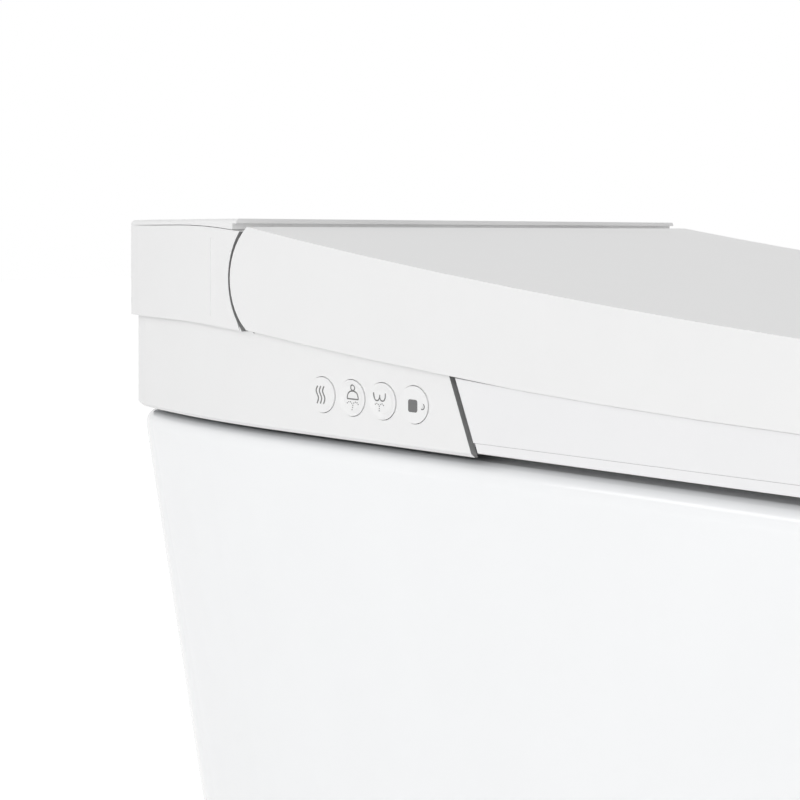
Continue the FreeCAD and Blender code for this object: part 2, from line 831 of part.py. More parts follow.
def deck_cover():
    inset = housing_inset + housing_wall + cover_fit
    plan = unit_prism(inset, base_z, overall_height)
    wide = overall_width
    trough_out = barrel_radius + recess_gap + deck_thick
    trough_in = barrel_radius + recess_gap
    deck = below_lid(-deck_drop, wide).cut(below_lid(-deck_drop - deck_thick, wide))
    wall = below_lid(-deck_drop, wide).common(ahead_of_panel(-deck_behind - deck_thick))
    trough = hinge_cylinder(trough_out, -wide, wide).common(below_lid(-deck_drop, wide))
    skin = joined([deck, trough, wall]).common(plan)
    skin = skin.common(box(-wide, wide, 0, deck_rear_y, 0, overall_height))
    skin = skin.cut(ahead_of_panel(-deck_behind)).cut(hinge_cylinder(trough_in, -wide, wide))
    lined = []
    open_cuts = []
    for side in (-1, 1):
        x_in = arm_in - arm_clearance
        x_out = arm_out + arm_clearance
        rear = channel_rear_y
        outer = box(*sorted((side * (x_in - channel_wall), side * (x_out + channel_wall))),
                    0, rear + channel_wall, channel_floor_z - channel_wall, overall_height)
        outer = outer.common(below_lid(-deck_drop, wide)).cut(ahead_of_panel(-deck_behind))
        lined.append(outer.cut(hinge_cylinder(trough_in, -wide, wide)))
        open_cuts.append(box(*sorted((side * x_in, side * x_out)), 0, rear, channel_floor_z, overall_height))
        post = box(*sorted((side * (post_in - 0.3), side * (post_out + 0.3))),
                   hinge_y - post_round - 0.5, hinge_y + post_round + 0.5, base_z, overall_height)
        open_cuts.append(post)
    open_cuts.append(box(-wide, board_x + board_thickness + 0.5, button_y(3) - frame_margin - 1,
                         button_y(0) + frame_margin + 1, 0, overall_height))
    return joined([skin] + lined).cut(open_cuts)


def unit_base_plate():
    inset = housing_inset + housing_wall + cover_fit
    plate = unit_prism(inset, unit_z, base_z).cut(ahead_of_panel(-deck_behind))
    slot = box(-wand_slot_half, motor_slot_x, wand_slot_front_y, wand_slot_rear_y, 0, REACH)
    cuts = [slot, rod(fan_eye_radius, V(fan_x, fan_y, 0), Z_AXIS, REACH)]
    for side in (-1, 1):
        cuts.append(rod(bolt_radius + 0.3, V(side * unit_bolt_x, unit_bolt_y, 0), Z_AXIS, REACH))
    cuts.append(rod(hose_radius + hose_gap, V(-inlet_x, supply_hose_y, 0), Z_AXIS, REACH))
    return plate.cut(cuts)


def deck_gaskets():
    strips = []
    for side in (-1, 1):
        edges = sorted((side * (cavity_half_width + 4), side * (cavity_half_width + 16)))
        strips.append(box(*edges, cavity_front_y, cavity_rear_y - 30, rim_z, unit_z))
    strips.append(box(-80, 80, cavity_rear_y + 3, cavity_rear_y + 10, rim_z, unit_z))
    return Part.Compound(strips)


def unit_bolts():
    bolts = []
    deck_under = rim_z - deck_thickness
    for side in (-1, 1):
        x = side * unit_bolt_x
        head = hex_prism(bolt_flats, V(x, unit_bolt_y, base_z), Z_AXIS, 4)
        shank = rod(bolt_radius, V(x, unit_bolt_y, deck_under - 14), Z_AXIS, base_z - deck_under + 14)
        nut = hex_prism(bolt_flats, V(x, unit_bolt_y, deck_under - 8), Z_AXIS, 8)
        bolts.append(joined([head, shank, nut]))
    return Part.Compound(bolts)


# ---------------------------------------------------------------- hinges


def hinge_post(side):
    """A metal post: upright block, round top on the hinge line, bored through for the damper barrel."""
    x = sorted((side * post_in, side * post_out))
    upright = box(*x, hinge_y - post_round, hinge_y + post_round, base_z, hinge_z)
    top = hinge_cylinder(post_round, *x)
    post = joined([upright, top])
    return post.cut(hinge_cylinder(damper_radius + running_fit, x[0] - 1, x[1] + 1))


def damper(side, bore_from, bore_to, pin_start, pin_end):
    """A soft-close damper: a barrel in the post, a turning bore on one side and a fixed pivot on the other."""
    x = sorted((side * post_in, side * post_out))
    barrel = hinge_cylinder(damper_radius, *x)
    turning = hinge_cylinder(pin_radius + running_fit, *sorted((side * bore_from, side * bore_to)))
    return barrel.cut(turning).fuse(pin(side, pin_start, pin_end)).removeSplitter()


def pin(side, start, end):
    return hinge_cylinder(pin_radius, *sorted((side * start, side * end)))


# ---------------------------------------------------------------- lid


def lid_form(inset, drop, rise):
    """The lid between its top surface and its lower edge, with the round rear end on the hinge line."""
    half = side_x - inset
    plan = front_outline(half, hinge_y + barrel_radius + 1, lid_straight_end_y,
                         front_y + inset, lid_nose_radius - inset, 0)
    form = plan.extrude(V(0, 0, overall_height + 20)).common(below_lid_top(drop, overall_width))
    form = form.cut(below_lid(rise, overall_width))
    forward = box(-REACH, REACH, -REACH, hinge_y, 0, REACH)
    return form.common(forward.fuse(hinge_cylinder(barrel_radius - drop, -REACH, REACH)))


def lid_outer_shell():
    form = lid_form(0, 0, 0)
    room = lid_form(lid_wall, lid_wall, -60)
    shell = form.cut(room)
    cuts = []
    below_top = below_lid_top(lid_wall, overall_width)
    rear = box(-REACH, REACH, hinge_y - 2, REACH, 0, overall_height).common(below_top)
    for side in (-1, 1):
        skirt = sorted((side * inner_barrel_half, side * (side_x - lid_wall)))
        cuts.append(rear.common(box(*skirt, -REACH, REACH, 0, REACH)))
        slot = sorted((side * slot_in, side * (post_out + 0.3)))
        cuts.append(rear.common(box(*slot, -REACH, REACH, 0, REACH)))
    shell = shell.cut(cuts)
    return joined([shell] + [lid_boss(side) for side in (-1, 1)])


def lid_boss(side):
    """The boss that carries the lid on the hinge line, with a web up to the lid's top wall."""
    x = sorted((side * (post_out + hub_gap), side * boss_out))
    hub = hinge_cylinder(hub_radius, *x)
    web = box(*x, hinge_y - 10, hinge_y + 10, hinge_z, overall_height)
    web = web.common(below_lid_top(lid_wall / 2, overall_width))
    fit = 0.0 if side < 0 else running_fit
    bore = hinge_cylinder(pin_radius + fit, x[0] - 1, x[1] + 1)
    return joined([hub, web]).cut(bore)


def lid_inner_shell():
    half = side_x - lid_wall - 0.3
    inset = side_x - half
    plan = front_outline(half, liner_rear_y, lid_straight_end_y, front_y + inset, lid_nose_radius - inset, 0)
    form = plan.extrude(V(0, 0, overall_height))
    return form.common(below_lid(liner_rise + liner_thickness, overall_width)).cut(below_lid(liner_rise, overall_width))


def lid_bumpers():
    bottom = lid_flat_z - seat_lid_gap
    top = lid_flat_z + liner_rise
    pads = []
    for x, y in mirrored(lid_bumper_spots, front_y, 1):
        pads.append(box(x - 5, x + 5, y - 9, y + 9, bottom, top))
    return Part.Compound(pads)


# ---------------------------------------------------------------- seat


def seat_blank(inset, drop, z0):
    """The seat's outer form moved in by an inset and lowered by a drop, from a height up."""
    half = side_x - seat_side_inset - inset
    tip = front_y + seat_side_inset + inset
    plan = front_outline(half, REACH / 2, lid_straight_end_y, tip, lid_nose_radius - seat_side_inset - inset, z0)
    form = plan.extrude(V(0, 0, overall_height - z0))
    form = form.common(below_lid(-seat_lid_gap - drop, overall_width)).common(ahead_of_panel(seat_behind_gap + inset))
    half = seat_half_opening
    hole = oval(half + inset, seat_opening_rear_y + inset, seat_opening_front_y - inset, 0, overall_height)
    rise = overall_height - seat_dish_edge_z
    dish = oval(half, seat_opening_rear_y, seat_opening_front_y, seat_dish_edge_z - drop,
                seat_dish_edge_z - drop + rise, flare=rise / seat_dish_slope)
    return form.cut([hole, dish])


def seat_ring(inset, z0, z1):
    """A level ring inside the seat's outline and round its opening."""
    flat = box(-REACH, REACH, -REACH, REACH, z0, z1)
    return seat_blank(inset, 0, z0 - 1).common(flat)


def seat_upper_shell():
    """The top moulding, open below: its ceiling is level, so that the heating foil lies flat under it."""
    outer = seat_blank(0, 0, seat_parting_z)
    shell = outer.cut(seat_ring(seat_skin, seat_parting_z - 1, seat_ceiling_z))
    return joined([shell] + [seat_arm(side) for side in (-1, 1)])


def seat_arm(side):
    """A cranked arm: from the seat's rear wall back through the deck's channel and up to the hinge line."""
    x = sorted((side * arm_in, side * arm_out))
    bar_z = arm_floor_z
    bar = yz_polygon(
        [
            (arm_root_y, bar_z),
            (arm_leg_rear_y, bar_z),
            (arm_leg_rear_y + 2, hinge_z - hub_radius),
            (hinge_y, hinge_z),
            (arm_leg_rear_y - arm_thickness + 1, hinge_z),
            (arm_leg_rear_y - arm_thickness, bar_z + arm_thickness + 4),
            (arm_leg_rear_y - arm_thickness - 4, bar_z + arm_thickness),
            (arm_root_y, bar_z + arm_thickness - 2),
        ],
        *x,
    )
    hub_x = sorted((side * arm_in, side * (post_in - hub_gap)))
    fit = running_fit if side < 0 else 0.0
    bore = hinge_cylinder(pin_radius + fit, hub_x[0] - 1, hub_x[1] + 1)
    return joined([bar, hinge_cylinder(hub_radius, *hub_x)]).cut(bore)


def seat_lower_shell():
    """The tray under the upper shell; its rear edge stands a little further forward."""
    floor = seat_blank(0, 0, seat_bottom_z).common(
        box(-REACH, REACH, -REACH, REACH, seat_bottom_z, seat_parting_z - seat_parting_gap)
    )
    floor = floor.common(ahead_of_panel(seat_behind_gap + seat_strip_step))
    lip_out = seat_skin + 0.4
    lip = seat_ring(lip_out, seat_parting_z - seat_parting_gap - 1, seat_parting_z + 2)
    lip = lip.cut(seat_ring(lip_out + 2, 0, overall_height))
    return joined([floor, lip])


def seat_heater():
    return seat_ring(heater_margin, seat_ceiling_z - heater_thickness, seat_ceiling_z)


def seat_thermostat():
    """A sensor block standing on the lower shell, up against the heating foil."""
    y = seat_opening_rear_y + heater_margin + 12
    return box(-7, 7, y - 7, y + 7, seat_parting_z - seat_parting_gap, seat_ceiling_z - heater_thickness)


def seat_bumpers():
    pads = []
    for x, y in mirrored(seat_bumper_spots, front_y, 1):
        pads.append(box(x - bumper_half, x + bumper_half, y - 12, y + 12, rim_z, seat_bottom_z))
    return Part.Compound(pads)


# ---------------------------------------------------------------- push buttons


def square_bar(half, x0, x1, y):
    return box(x0, x1, y - half, y + half, button_z - half, button_z + half)


def button(i, mark):
    """A push button: round face, square flange behind the panel and plunger; mark is none, dish or dot."""
    y = button_y(i)
    face_x = -side_x + housing_inset - button_proud
    flange_x = -side_x + housing_inset + housing_wall + cover_fit
    cap = rod(button_radius, V(face_x, y, button_z), X_AXIS, flange_x - face_x)
    flange = square_bar(button_flange_half, flange_x, flange_x + button_flange_thickness, y)
    plunger = square_bar(plunger_half, flange_x, flange_x + plunger_length, y)
    shape = joined([cap, flange, plunger])
    if mark == "dish":
        depth = button_dish_depth
        hollow = Part.makeCone(button_radius - 1, button_radius - 3, depth, V(face_x, y, button_z), X_AXIS)
        shape = shape.cut(hollow)
    if mark == "dot":
        shape = shape.fuse(rod(stop_dot_radius, V(face_x - 0.4, y - stop_dot_ahead, button_z), X_AXIS, 1))
    return shape.removeSplitter()


def button_stack(x0, x1, margin, z_margin):
    """A plate behind the four buttons, from x0 to x1."""
    y0 = button_y(3) - margin
    y1 = button_y(0) + margin
    return box(x0, x1, y0, y1, button_z - z_margin, button_z + z_margin)


def button_frame():
    """The guide frame: a plate with a hole for each plunger, and walls that stand on the panel."""
    panel_x = -side_x + housing_inset + housing_wall
    plate = button_stack(frame_x, frame_x + 2, frame_margin, frame_margin)
    walls = button_stack(panel_x, board_x + board_thickness, frame_margin, frame_margin).cut(
        button_stack(panel_x - 1, 0, frame_margin - 1.5, frame_margin - 1.5)
    )
    holes = [square_bar(plunger_half + 0.3, frame_x - 1, frame_x + 3, button_y(i)) for i in range(4)]
    return joined([plate, walls]).cut(holes)


def button_membrane():
    return button_stack(board_x - membrane_thickness, board_x, frame_margin - 1.5, frame_margin - 1.5)


def button_board():
    return button_stack(board_x, board_x + board_thickness, frame_margin - 1.5, frame_margin - 1.5)


# ---------------------------------------------------------------- wash wand


def on_wand(shape):
    """Move a shape from the wand's own frame (exit at the origin, +Y rearwards along it) to its place."""
    placed = shape.copy()
    placed.rotate(V(0, 0, 0), X_AXIS, wand_tilt_deg)
    placed.translate(V(0, wand_exit_y, wand_exit_z))
    return placed


def wand_bar(y0, y1, nose=0.0):
    """A length of wand with its flat underside; nose is the bevel at its front end."""
    flat = box(-wand_radius, wand_radius, y0 - 1, y1 + 1, -2 * wand_radius, -wand_flat)
    bar = rod(wand_radius, V(0, y0 + nose, 0), Y_AXIS, y1 - y0 - nose)
    if nose > 0:
        bar = bar.fuse(Part.makeCone(wand_radius - nose, wand_radius, nose, V(0, y0, 0), Y_AXIS))
    return bar.cut(flat).removeSplitter()


def wash_wand():
    return on_wand(wand_bar(tip_setback + tip_length, wand_length))


def wand_tip():
    tip = wand_bar(tip_setback, tip_setback + tip_length, tip_bevel)
    nozzles = [(0.0, 5.5), (0.0, 9.5)]
    holes = [rod(nozzle_radius, V(x, y, 3), Z_AXIS, wand_radius) for x, y in nozzles]
    return on_wand(tip.cut(holes))


def wand_rack():
    """A straight rack under the wand: its teeth face down to the pinion."""
    pitch = math.pi * gear_module
    half_root = (pitch / 2 + tooth_backlash) / 2 + rack_root * math.tan(math.radians(pressure_deg))
    half_tip = pitch / 4 - tooth_backlash / 2 - tooth_addendum * math.tan(math.radians(pressure_deg))
    tip_z = -rack_pitch_drop - tooth_addendum
    root_z = -rack_pitch_drop + rack_root
    y0 = rack_start
    points = [(y0, -wand_flat)]
    for i in range(rack_teeth):
        centre = y0 + (i + 0.5) * pitch
        root_half = pitch / 2 - (half_root - tooth_backlash / 2) / 2 - 0.35
        points += [(centre - root_half, root_z), (centre - half_tip, tip_z)]
        points += [(centre + half_tip, tip_z), (centre + root_half, root_z)]
    y1 = y0 + rack_teeth * pitch
    points += [(y1, root_z), (y1, -wand_flat)]
    points.insert(1, (y0, root_z))
    return on_wand(yz_polygon(points, -rack_width / 2, rack_width / 2))


def involute(base, radius):
    """Polar angle of an involute at a radius."""
    a = math.acos(base / radius)
    return math.tan(a) - a


def pinion_outline():
    """The pinion's tooth outline as (y, z) points round its own centre, one tooth pointing along +Z."""
    pitch_r = gear_module * pinion_teeth / 2
    base_r = pitch_r * math.cos(math.radians(pressure_deg))
    tip_r = pitch_r + tooth_addendum
    root_r = pitch_r - tooth_dedendum
    half_at_pitch = math.pi / (2 * pinion_teeth) - tooth_backlash / (2 * pitch_r)
    outline = []
    for i in range(pinion_teeth):
        middle = math.pi / 2 + 2 * math.pi * i / pinion_teeth
        flank = []
        for radius in (base_r + 0.02, pitch_r, tip_r):
            flank.append((radius, half_at_pitch + involute(base_r, pitch_r) - involute(base_r, radius)))
        flank.insert(0, (root_r, flank[0][1] + 0.01))
        for radius, half in flank:
            outline.append((radius * math.cos(middle - half), radius * math.sin(middle - half)))
        for radius, half in reversed(flank):
            outline.append((radius * math.cos(middle + half), radius * math.sin(middle + half)))
    return outline


def pinion_place():
    return rack_start + (pinion_rack_tooth + 1) * math.pi * gear_module, -rack_pitch_drop - pinion_teeth * gear_module / 2


def wand_pinion():
    y, z = pinion_place()
    outline = [(y + py, z + pz) for py, pz in pinion_outline()]
    wheel = yz_polygon(outline, -pinion_width / 2, pinion_width / 2)
    shaft = rod(motor_shaft_radius, V(-cradle_in - cradle_cheek, y, z), X_AXIS, 2 * (cradle_in + cradle_cheek))
    return on_wand(wheel.fuse(shaft))


def wand_motor():
    y, z = pinion_place()
    return on_wand(rod(motor_radius, V(cradle_in + cradle_cheek, y, z), X_AXIS, motor_length))


def wand_cradle():
    """Two cheeks with rails under the wand, a strip over it and brackets that carry the pinion's shaft."""
    y, z = pinion_place()
    parts = []
    out = cradle_in + cradle_cheek
    rail_z = -wand_flat - wand_gap
    for side in (-1, 1):
        cheek_x = sorted((side * cradle_in, side * out))
        rail_x = sorted((side * (rack_width / 2 + 1.6), side * (cradle_in + 1)))
        parts.append(box(*cheek_x, cradle_start, cradle_end, cradle_low, wand_radius + wand_gap))
        parts.append(box(*rail_x, cradle_start, cradle_end, cradle_low, rail_z))
        parts.append(box(*cheek_x, y - 8, y + 8, z - 7, cradle_low + 1))
    parts.append(box(-out, out, cradle_start, cradle_end, wand_radius + wand_gap, wand_radius + wand_gap + 2.5))
    bore = rod(motor_shaft_radius + running_fit, V(-out - 1, y, z), X_AXIS, 2 * out + 2)
    cradle = on_wand(joined(parts).cut(bore))
    feet = []
    for side in (-1, 1):
        leg_x = sorted((side * cradle_in, side * out))
        tab_x = sorted((side * cradle_in, side * cradle_tab_x))
        feet.append(box(*leg_x, cradle_leg_y, cradle_leg_y + 18, base_z, cradle_leg_top))
        feet.append(box(*tab_x, cradle_tab_y, cradle_tab_y + 10, base_z, base_z + 3))
    return joined([cradle] + feet)


def nozzle_bay():
    half = bay_half_width - 2
    bezel = box(-half, half, bezel_y, bezel_y + bezel_thickness, bay_floor_z + 1, unit_z)
    cuts = [on_wand(rod(wand_radius + 0.8, V(0, -30, 0), Y_AXIS, 60))]
    for i in range(grille_slots):
        x = -duct_out + duct_wall + 1 + i * grille_pitch
        cuts.append(box(x, x + grille_pitch / 2, 0, REACH, unit_z - duct_height + 3, unit_z - 4))
    return bezel.cut(cuts)


# ---------------------------------------------------------------- warm air dryer


def duct_bore():
    return box(-duct_out + duct_wall, -duct_in - duct_wall, 0, fan_y, unit_z - duct_height + duct_wall, unit_z - duct_wall)


def dryer_fan_housing():
    z0 = unit_z - fan_depth
    cup = rod(fan_radius, V(fan_x, fan_y, z0), Z_AXIS, fan_depth)
    room = rod(fan_radius - fan_wall, V(fan_x, fan_y, z0 + fan_wall), Z_AXIS, fan_depth)
    eye = rod(fan_inlet_radius, V(fan_x, fan_y, z0 - 1), Z_AXIS, fan_depth)
    return cup.cut([room, eye, duct_bore()])


def dryer_duct():
    outer = box(-duct_out, -duct_in, bezel_y + bezel_thickness, fan_y, unit_z - duct_height, unit_z)
    return outer.cut([duct_bore(), rod(fan_radius, V(fan_x, fan_y, 0), Z_AXIS, REACH)])


def dryer_impeller():
    z0 = unit_z - fan_depth + fan_wall + 2
    height = fan_depth - fan_wall - 6
    hub = rod(impeller_hub_radius, V(fan_x, fan_y, z0), Z_AXIS, height)
    disc = rod(impeller_radius, V(fan_x, fan_y, z0 + height - 2), Z_AXIS, 2)
    blades = []
    for i in range(impeller_blades):
        blade = box(impeller_blade_start, impeller_radius - 1, -blade_thickness / 2, blade_thickness / 2, z0, z0 + height - 1)
        blade.rotate(V(impeller_blade_start, 0, 0), Z_AXIS, blade_rake_deg)
        blade.rotate(V(0, 0, 0), Z_AXIS, 360 * i / impeller_blades)
        blade.translate(V(fan_x, fan_y, 0))
        blades.append(blade)
    bore = rod(motor_shaft_radius + running_fit, V(fan_x, fan_y, 0), Z_AXIS, z0 + height - 4)
    bore = bore.fuse(rod(motor_shaft_radius + running_fit, V(fan_x, fan_y, z0 + 4), Z_AXIS, height))
    return joined([hub, disc] + blades).cut(bore)


def dryer_motor():
    body = rod(motor_radius, V(fan_x, fan_y, base_z), Z_AXIS, fan_motor_height)
    shaft = rod(motor_shaft_radius, V(fan_x, fan_y, unit_z - fan_depth + fan_wall + 4), Z_AXIS, fan_depth)
    return body.fuse(shaft).removeSplitter()


# ---------------------------------------------------------------- water path and electronics


def on_base(place):
    """A block on the base plate: its ends across, its distances forward of the rear, and its height."""
    x0, x1, back, ahead, height = place
    return box(x0, x1, rear_y - ahead, rear_y - back, base_z, base_z + height)


def inlet_valve():
    return on_base(valve_place)


def water_filter():
    return rod(filter_radius, V(0, filter_y, base_z), Z_AXIS, filter_height)


def water_heater():
    return on_base(heater_place)


def diverter_valve():
    return on_base(diverter_place)


def cold_hose():
    z = base_z + hose_height
    valve_x = valve_place[1]
    heater_y = rear_y - heater_place[2]
    first = rod(hose_radius, V(valve_x, filter_y, z), X_AXIS, -valve_x).cut(water_filter())
    turn_x = cold_turn_x
    second = tube([V(0, filter_y, z), V(turn_x, filter_y, z), V(turn_x, heater_y, z)], hose_bend, hose_radius)
    second = second.cut(water_filter())
    y = supply_hose_y
    rise = [V(-inlet_x, service_plate_y, inlet_z), V(-inlet_x, y, inlet_z), V(-inlet_x, y, base_z)]
    supply = tube(rise, supply_bend, hose_radius).cut(water_inlet())
    return Part.Compound([supply, first, second])


def warm_hose():
    z = base_z + hose_height
    start_y = rear_y - heater_place[2]
    turn_y = rear_y - (diverter_place[2] + diverter_place[3]) / 2
    turn_x = warm_turn_x
    return tube([V(turn_x, start_y, z), V(turn_x, turn_y, z), V(diverter_place[1], turn_y, z)], warm_bend, hose_radius)


def deodoriser():
    return on_base(cartridge_place)


def control_board():
    x0, x1, back, ahead, height = board_place
    y0 = rear_y - ahead
    y1 = rear_y - back
    under = base_z + height
    top = under + board_thickness
    board = box(x0, x1, y0, y1, under, top)
    posts = []
    for x in (x0 + board_post_in, x1 - board_post_in):
        for y in (y0 + board_post_in, y1 - board_post_in):
            posts.append(box(x - board_post_half, x + board_post_half, y - board_post_half, y + board_post_half,
                             base_z, under))
    chip = box(x0 + 20, x0 + 40, y0 + 12, y1 - 12, top, top + 2.4)
    relay = box(x0 + 5, x0 + 13, y0 + 10, y1 - 12, top, top + 11.4)
    return joined([board, chip, relay] + posts)


def power_supply():
    return on_base(supply_place)


def booster_tank():
    return box(tank_x0, tank_x0 + tank_length, rear_y - tank_ahead, rear_y - tank_back, tank_z, unit_z)


def booster_pump():
    return rod(pump_radius, V(flush_x, pump_y, tank_z - pump_height), Z_AXIS, pump_height)


def flush_hose(china):
    z = tank_z - pump_height / 2
    turn_y = rear_y - flush_turn
    end_y = bowl_rear_y - flush_into_wall
    points = [V(flush_x, pump_y - pump_radius, z), V(flush_x, turn_y, z)]
    points += [V(flush_x, turn_y, flush_z), V(flush_x, end_y, flush_z)]
    return tube(points, flush_bend, flush_hose_radius).cut(booster_pump()).cut(china)


def service_plate():
    half = service_width / 2 - cover_fit
    outside = service_plate_y + service_plate_thickness
    plate = box(-half, half, service_plate_y, outside, service_plate_z, service_height - cover_fit)
    holes = []
    for x in (-inlet_x, inlet_x):
        holes.append(rod(inlet_thread_radius + fitting_gap, V(x, 0, inlet_z), Y_AXIS, REACH))
    return plate.cut(holes)


def fitting(x, bore):
    """A fitting through the service plate: a six-sided flange inside, a relief in the plate, then the thread."""
    y = service_plate_y - fitting_flange
    neck_length = fitting_flange + service_plate_thickness + thread_relief
    flange = hex_prism(fitting_flats, V(x, y, inlet_z), Y_AXIS, fitting_flange)
    neck = rod(inlet_thread_radius - thread_undercut, V(x, y, inlet_z), Y_AXIS, neck_length)
    thread = rod(inlet_thread_radius, V(x, y + neck_length, inlet_z), Y_AXIS, inlet_thread_length)
    return joined([flange, neck, thread]).cut(rod(bore, V(x, 0, inlet_z), Y_AXIS, REACH))


def water_inlet():
    return fitting(-inlet_x, hose_radius + running_fit)


def mains_gland():
    """The cable gland: the same fitting with its clamping nut outside the plate."""
    outside = service_plate_y + service_plate_thickness
    nut = hex_prism(fitting_flats, V(inlet_x, outside, inlet_z), Y_AXIS, gland_nut)
    nut = nut.cut(rod(inlet_thread_radius - thread_undercut, V(inlet_x, 0, inlet_z), Y_AXIS, REACH))
    return joined([fitting(inlet_x, gland_bore), nut])


def floor_brackets():
    """Two angle brackets inside the skirt: each is screwed to the floor and takes the skirt's side bolt."""
    blocks = []
    y0 = floor_bracket_y - bracket_length / 2
    y1 = floor_bracket_y + bracket_length / 2
    for side in (-1, 1):
        foot = box(*sorted((side * (bracket_out - bracket_foot), side * bracket_out)), y0, y1, 0, bracket_sole)
        upright = box(*sorted((side * (bracket_out - bracket_wall), side * bracket_out)), y0, y1, 0, bracket_height)
        block = foot.fuse(upright)
        hole = rod(floor_bolt_hole_radius, V(side * floor_bolt_half_spacing, floor_bracket_y, -1), Z_AXIS, REACH)
        cross = rod(bolt_radius + fitting_gap, V(0, floor_bracket_y, skirt_bolt_z), V(side, 0, 0), REACH)
        blocks.append(block.cut([hole, cross]).removeSplitter())
    return Part.Compound(blocks)


def skirt_bolts(china):
    bolts = []
    face = floor_half_width + (side_x - housing_inset - skirt_inset - floor_half_width) * skirt_bolt_z / rim_z
    end = bracket_out - bracket_wall - bolt_end
    for side in (-1, 1):
        shank = rod(bolt_radius, V(side * end, floor_bracket_y, skirt_bolt_z), V(side, 0, 0), face - end)
        head_start = V(side * (face - 1), floor_bracket_y, skirt_bolt_z)
        head = hex_prism(bolt_flats, head_start, V(side, 0, 0), skirt_bolt_head)
        bolts.append(shank.fuse(head).removeSplitter().cut(china))
    return Part.Compound(bolts)


def main():
    os.makedirs("parts", exist_ok=True)
    china = ceramic_body()
    pieces = {
        "ceramic_body": china,
        "lower_housing": lower_housing(),
        "rear_cap": rear_cap(),
        "top_plate": top_plate(),
        "deck_cover": deck_cover(),
        "unit_base_plate": unit_base_plate(),
        "deck_gaskets": deck_gaskets(),
        "unit_bolts": unit_bolts(),
        "hinge_post_right": hinge_post(-1),
        "hinge_post_left": hinge_post(1),
        "lid_damper": damper(-1, post_out - bore_depth, post_out + 1, arm_in, post_in + 1),
        "seat_damper": damper(1, post_in - 1, post_in + bore_depth, post_out - 1, boss_out),
        "lid_hinge_shaft": pin(-1, post_out - bore_depth + 1, boss_out),
        "seat_hinge_shaft": pin(1, arm_in, post_in + bore_depth - 1),
        "lid_outer_shell": lid_outer_shell(),
        "lid_inner_shell": lid_inner_shell(),
        "lid_bumpers": lid_bumpers(),
        "seat_upper_shell": seat_upper_shell(),
        "seat_lower_shell": seat_lower_shell(),
        "seat_heater": seat_heater(),
        "seat_thermostat": seat_thermostat(),
        "seat_bumpers": seat_bumpers(),
        "button_dryer": button(0, "none"),
        "button_front_wash": button(1, "dish"),
        "button_rear_wash": button(2, "dish"),
        "button_stop": button(3, "dot"),
        "button_frame": button_frame(),
        "button_membrane": button_membrane(),
        "button_board": button_board(),
        "wash_wand": wash_wand(),
        "wand_tip": wand_tip(),
        "wand_rack": wand_rack(),
        "wand_pinion": wand_pinion(),
        "wand_motor": wand_motor(),
        "wand_cradle": wand_cradle(),
        "nozzle_bay": nozzle_bay(),
        "dryer_fan_housing": dryer_fan_housing(),
        "dryer_duct": dryer_duct(),
        "dryer_impeller": dryer_impeller(),
        "dryer_motor": dryer_motor(),
        "inlet_valve": inlet_valve(),
        "water_filter": water_filter(),
        "water_heater": water_heater(),
        "diverter_valve": diverter_valve(),
        "cold_hose": cold_hose(),
        "warm_hose": warm_hose(),
        "deodoriser": deodoriser(),
        "control_board": control_board(),
        "power_supply": power_supply(),
        "booster_tank": booster_tank(),
        "booster_pump": booster_pump(),
        "flush_hose": flush_hose(china),
        "service_plate": service_plate(),
        "water_inlet": water_inlet(),
        "mains_gland": mains_gland(),
        "floor_brackets": floor_brackets(),
        "skirt_bolts": skirt_bolts(china),
    }
    for name, shape in pieces.items():
        save(name, shape)


main()
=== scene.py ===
import json
import math

import bmesh
import bpy
from mathutils import Matrix, Vector

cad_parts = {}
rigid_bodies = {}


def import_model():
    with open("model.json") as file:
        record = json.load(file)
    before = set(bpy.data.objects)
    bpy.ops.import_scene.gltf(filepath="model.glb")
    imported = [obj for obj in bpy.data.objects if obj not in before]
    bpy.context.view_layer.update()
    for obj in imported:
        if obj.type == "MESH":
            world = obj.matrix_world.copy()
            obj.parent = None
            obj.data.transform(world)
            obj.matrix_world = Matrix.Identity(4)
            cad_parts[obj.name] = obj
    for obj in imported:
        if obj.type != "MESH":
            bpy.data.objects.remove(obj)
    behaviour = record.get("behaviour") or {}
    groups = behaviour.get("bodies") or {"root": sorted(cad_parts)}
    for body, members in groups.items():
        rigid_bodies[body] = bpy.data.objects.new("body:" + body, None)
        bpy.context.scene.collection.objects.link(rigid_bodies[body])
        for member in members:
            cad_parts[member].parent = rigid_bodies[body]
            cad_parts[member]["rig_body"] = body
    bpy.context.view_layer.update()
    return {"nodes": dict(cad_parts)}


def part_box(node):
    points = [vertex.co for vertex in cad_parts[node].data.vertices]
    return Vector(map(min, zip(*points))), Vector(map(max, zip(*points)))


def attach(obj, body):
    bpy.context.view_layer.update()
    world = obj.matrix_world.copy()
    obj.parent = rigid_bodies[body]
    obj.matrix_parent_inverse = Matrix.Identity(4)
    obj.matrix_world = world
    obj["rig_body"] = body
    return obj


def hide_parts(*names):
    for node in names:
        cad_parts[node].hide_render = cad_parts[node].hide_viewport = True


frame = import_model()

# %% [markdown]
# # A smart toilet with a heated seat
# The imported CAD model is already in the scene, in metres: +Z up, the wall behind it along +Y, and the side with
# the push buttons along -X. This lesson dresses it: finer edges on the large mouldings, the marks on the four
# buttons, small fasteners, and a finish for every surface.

nodes = frame["nodes"]
MM = 0.001

# %% [markdown]
# ## How a finish is written
# A colour is read off in sRGB, as a painter's chart gives it, and turned to linear light once. Each finish is one
# Principled shader with a pattern behind its colour, its roughness and its bump. The patterns use Object
# coordinates, which are metres here, so a scale of 1000 / size gives a grain of that many millimetres.

# %% Colour and node helpers


